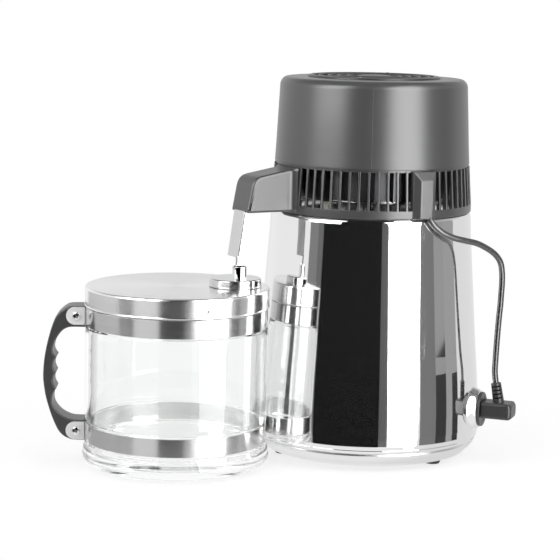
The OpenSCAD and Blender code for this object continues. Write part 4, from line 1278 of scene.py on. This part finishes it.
lidData = {
    "line": [(77.3, 144.7), (78.2, 144.7), (78.2, 148.05), (84.9, 148.05, 0.2), (85.35, 148.6, 0.5),
             (85.35, 149.0, 0.5), (84.9, 149.7, 0.4), (84.88, 164.4, 1.2), (84.3, 165.9, 1.4),
             (82.6, 166.38, 2), (0, 166.38), (0, 165.2), (82.4, 165.2, 1), (83.7, 164, 1), (83.7, 149.3),
             (77.3, 149.3)],
    "cap": (-144.7, 1.6), "capHole": 20.55, "knob": (-146.4, -9.2), "knobHole": 6.66,
}


def buildLid(mesh):
    turnProfile(mesh, lidData["line"], centre=jugCentre, segments=256)


def roundHole(centre, radius, low, high):
    def build(mesh):
        lathe(mesh, [(0, low), (radius, low), (radius, high), (0, high)], centre, 96, False)
    return build


lid = meshPiece("jugLid", buildLid, None, [roundHole(lidData["cap"], lidData["capHole"], 160, 170)])
finishPiece(lid, "lidSteel", "lid", ["jug_lid", "lid_rim"])

# small half-round lug pressed out of the lid's side
lugData = {
    "line": [(0, 83.9), (4, 83.9), (4, 84.7, 0.2), (3.7, 85.3, 0.4), (2.5, 86.15, 0.8), (0, 86.4)],
    "azimuth": -96.9, "height": 153,
}


def buildLug(mesh):
    turnProfile(mesh, lugData["line"], False, 4, segments=48)


def lugCut(mesh):
    levelSlab(mesh, roundedBox(10, 12, 0.2), 3, 0.1, (5, 0, 85))


lugPlace = jugPlace @ outward(lugData["azimuth"], lugData["height"])
lidLug = meshPiece("lidLug", buildLug, lugPlace, [lugCut])
finishPiece(lidLug, "lidSteel", "lid", [])


def buildCap(mesh):
    turnProfile(mesh, [(18.1, 164.4), (19.1, 164.4), (19.1, 166.85), (24.35, 166.85, 0.3),
                       (24.35, 167.7, 0.4), (24.0, 168.1, 0.3), (24.0, 173.6, 0.9), (22.9, 174.45, 0.8),
                       (0, 174.45), (0, 167.2), (18.1, 167.2)], centre=lidData["cap"], segments=128)


cap = meshPiece("filterCap", buildCap, None, [roundHole(lidData["knob"], lidData["knobHole"], 160, 180)])
finishPiece(cap, "capSteel", "cap", ["filter_cap"])


def buildKnob(mesh):
    turnProfile(mesh, [(5.7, 166.9, 0.2), (6.65, 166.9, 0.2), (6.65, 186.5, 0.4), (5.7, 186.5, 0.4)],
                steps=4, centre=lidData["knob"], segments=64)


knob = meshPiece("filterKnob", buildKnob)
finishPiece(knob, "chrome", "cap", ["filter_knob"])
print("lid")

# CAD pieces that keep their own form get a finish

carried = {
    "bright": ["boiling_chamber", "chamber_floor", "heating_element", "base_studs", "foot_screws",
               "head_plate", "head_spigot", "grille_screws", "motor_bracket", "fan_shaft"],
    "aluminium": ["heater_plate"],
    # condenser_fins take the dark fin finish, which is painted shade
    "finMetalPaintedShade": ["condenser_fins"],
    "brass": ["thermostats", "socket_pins", "mains_pins", "plug_contacts"],
    "blockPlastic": ["terminal_block", "coil_posts"],
    "silicone": ["head_seal", "lid_seal"],
    "blackPlastic": ["fan_motor", "lead_gland", "filter_basket", "basket_floor"],
    "felt": ["charcoal_pod"],
}
for finishName, names in carried.items():
    for name in names:
        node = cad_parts[name]
        node.data.materials.clear()
        node.data.materials.append(finishes[finishName])
print("carried nodes")

# Studio: floor, backdrop and the cards that the steel mirrors

viewRight, viewBack = Vector((0.8660, -0.5, 0)), Vector((-0.5, -0.8660, 0))
white = (1, 1, 1, 1)


def fromView(right, back, height):
    # metres to the right, toward the camera and up
    return viewRight * right + viewBack * back + Vector((0, 0, height))


def cardMaterial(name, strength):
    finish = bpy.data.materials.new(name)
    tree, out = startTree(finish, "ShaderNodeOutputMaterial")
    # rays that have passed through the jug see a white card
    depth = addNode(tree, "ShaderNodeLightPath").outputs["Transmission Depth"]
    seen = rangeOf(tree, calc(tree, "GREATER_THAN", depth, 0.5), strength, max(strength, 0.9))
    glow = addNode(tree, "ShaderNodeEmission", {"Color": white, "Strength": seen})
    setInputs(tree, out, {"Surface": glow.outputs[0]})
    return finish


def makeCard(name, plan, low, high, strength, topPlan=None):
    # upright card over a line of (right, toward the camera)
    mesh = bmesh.new()
    columns = [[mesh.verts.new(fromView(*foot, low)), mesh.verts.new(fromView(*head, high))]
               for foot, head in zip(plan, topPlan or plan)]
    for a, b in zip(columns, columns[1:]):
        mesh.faces.new((a[0], b[0], b[1], a[1]))
    card = meshObject(name, mesh)
    card.data.materials.append(cardMaterial(name + "Light", strength))
    card.visible_camera = False
    card.visible_diffuse = False
    card.visible_shadow = False
    return card


def arcPlan(centre, distance, start, end):
    return [(centre[0] + distance * sin(radians(a)), centre[1] + distance * cos(radians(a)))
            for a in rounds(start, end, 6)]


def toLinear(value):
    share = value / 255
    return share / 12.92 if share < 0.04045 else ((share + 0.055) / 1.055) ** 2.4


softboxData = {
    # foot line, low, high, strength and head line
    "sideSoftbox": ([(0.3235, 0.906), (0.383, 0.397)], -0.2, 1.0, 7.0, [(0.2368, 0.9324), (0.42, 0.184)]),
    "highSoftbox": ([(-0.35, 0.53), (-0.95, 0.30)], 0.32, 1.0, 6.0),
}
stripData = {
    "distance": 5.0, "eye": 0.12, "steel": 0.8,
    # turn from the camera's side, grey in the steel, low and high elevation
    "strips": [
        (-140, -73, 160, -30, -6.5), (-73, -62, 120, -15, 22), (-62, -54, 100, -15, 40),
        (-54, -50, 30, -20, 65), (-50, -45, 70, -20, 22), (-50, -45, 0, 22, 65), (-45, 11, 0, -20, 65),
        (11, 19.5, 88, -15, 22), (11, 19.5, 0, 22, 65), (19.5, 54, 0, 22, 65), (54, 73, 112, -15, 22),
        (73, 87, 48, -15, -4.1), (73, 87, 145, -4.1, 22), (87, 96, 150, -15, 22),
        (96, 105, 48, -15, -5.7), (96, 105, 150, -5.7, 22),
    ],
}
jugCardData = {"distance": 0.8, "start": -50, "end": -18, "low": -0.3, "high": 0.3, "strength": 0.72}

for name, values in softboxData.items():
    makeCard(name, *values)
for index, (start, end, tone, low, high) in enumerate(stripData["strips"]):
    distance, eye = stripData["distance"], stripData["eye"]
    strip = makeCard(f"strip{index}", arcPlan((0, 0), distance, start, end),
                     eye + distance * tan(radians(low)), eye + distance * tan(radians(high)),
                     toLinear(tone) / stripData["steel"])
    strip.visible_transmission = False

# a low card that only the jug and its steel mirror
jugSteel = bpy.data.collections.new("jugSteel")
for piece in [lid, lidLug, glass] + bands:
    jugSteel.objects.link(piece)
jugSpot = [axis.dot(Vector((*jugCentre, 0))) * mm for axis in (viewRight, viewBack)]
jugCard = makeCard("jugCard", arcPlan(jugSpot, *(jugCardData[key] for key in ("distance", "start", "end"))),
                   jugCardData["low"], jugCardData["high"], jugCardData["strength"])
jugCard.visible_transmission = False
jugCard.light_linking.receiver_collection = jugSteel

floorData = {
    "middle": (-0.07, 0, 0), "rings": (0.02, 0.2, 0.5, 1.0, 2.5, 6.0, 14.0), "sides": 48,
    "paper": 0.93, "nearGlow": 0.72, "fadeStart": 0.16, "fadeEnd": 0.42,
}


def makeFloor():
    mesh = bmesh.new()
    rings = [[mesh.verts.new((radius * cos(angle) + floorData["middle"][0], radius * sin(angle), 0))
              for angle in evenAngles(floorData["sides"])] for radius in floorData["rings"]]
    loopFaces(mesh, rings)
    mesh.faces.new(rings[0])
    floor = meshObject("floor", mesh)
    finish = bpy.data.materials.new("floorPaper")
    tree, out = startTree(finish, "ShaderNodeOutputMaterial")
    paper = addNode(tree, "ShaderNodeBsdfDiffuse", {"Color": (*grey(floorData["paper"]), 1)})
    glow = addNode(tree, "ShaderNodeEmission", {"Strength": 1.0})
    where = addNode(tree, "ShaderNodeTexCoord").outputs["Object"]
    away = addNode(tree, "ShaderNodeVectorMath", {0: where, 1: floorData["middle"]},
                   {"operation": "DISTANCE"})
    # the paper keeps its shadow near the object and fades to white
    fade = addNode(tree, "ShaderNodeMapRange",
                   {"Value": away.outputs["Value"], "From Min": floorData["fadeStart"],
                    "From Max": floorData["fadeEnd"], "To Min": floorData["nearGlow"], "To Max": 1.0},
                   {"interpolation_type": "SMOOTHSTEP"})
    setInputs(tree, out, {"Surface": mixShaders(tree, fade.outputs[0], paper.outputs[0], glow.outputs[0])})
    floor.data.materials.append(finish)
    floor.visible_glossy = False


makeFloor()

lampAim = (-0.05, 0.0, 0.15)
lampData = {
    # place from the view, width in metres and power
    "keyLamp": ((-1.2, 1.1, 1.7), 1.2, 12),
    "sideLamp": ((1.3, 0.9, 1.1), 0.9, 9),
    "topLamp": ((0.0, 0.0, 2.1), 1.4, 8),
}
# narrow lamp for the arm's face, with a soft edge
armSpotData = {
    "place": (0.755, 0.568, 0.13), "aim": (-0.122, -0.016, 0.252),
    "light": {"spot_size": radians(7), "spot_blend": 0.6, "shadow_soft_size": 0.1, "energy": 12},
}


def makeLamp(name, kind, place, aim, settings):
    light = bpy.data.lights.new(name, kind)
    for key, value in settings.items():
        setattr(light, key, value)
    lamp = bpy.data.objects.new(name, light)
    bpy.context.collection.objects.link(lamp)
    lamp.location = fromView(*place)
    lamp.rotation_euler = (Vector(aim) - lamp.location).to_track_quat("-Z", "Y").to_euler()
    return lamp


for name, (place, size, power) in lampData.items():
    lamp = makeLamp(name, "AREA", place, lampAim, {"shape": "DISK", "size": size, "energy": power})
    lamp.visible_glossy = False
makeLamp("armSpot", "SPOT", armSpotData["place"], armSpotData["aim"], armSpotData["light"])


def makeWorld():
    world = bpy.data.worlds.new("studio")
    bpy.context.scene.world = world
    tree, out = startTree(world, "ShaderNodeOutputWorld")
    rays = addNode(tree, "ShaderNodeLightPath").outputs
    toward = addNode(tree, "ShaderNodeTexCoord").outputs["Generated"]
    side = addNode(tree, "ShaderNodeVectorMath", {0: toward, 1: tuple(viewRight * 0.8 - viewBack * 0.6)},
                   {"operation": "DOT_PRODUCT"})
    # mirrored surroundings are a little darker on the right, and darker overhead
    mirrored = calc(tree, "MULTIPLY", rangeOf(tree, side.outputs["Value"], 1.0, 0.85, 0.1, 0.5),
                    rangeOf(tree, splitAxes(tree, toward)["Z"], 1.0, 0.3, 0.3, 0.7))
    plain, glossy, seen = (
        addNode(tree, "ShaderNodeBackground", {"Color": white, "Strength": strength}).outputs[0]
        for strength in (0.7, mirrored, 1.0))
    direct = calc(tree, "ADD", rays["Is Camera Ray"], rays["Is Transmission Ray"], True)
    indirect = mixShaders(tree, rays["Is Glossy Ray"], plain, glossy)
    setInputs(tree, out, {"Surface": mixShaders(tree, direct, indirect, seen)})


makeWorld()
bpy.context.scene.view_settings.view_transform = "Standard"
# light turns back many times inside the jug's thick foot
for limit in ("max_bounces", "glossy_bounces", "transmission_bounces"):
    setattr(bpy.context.scene.cycles, limit, 24)
print("studio")
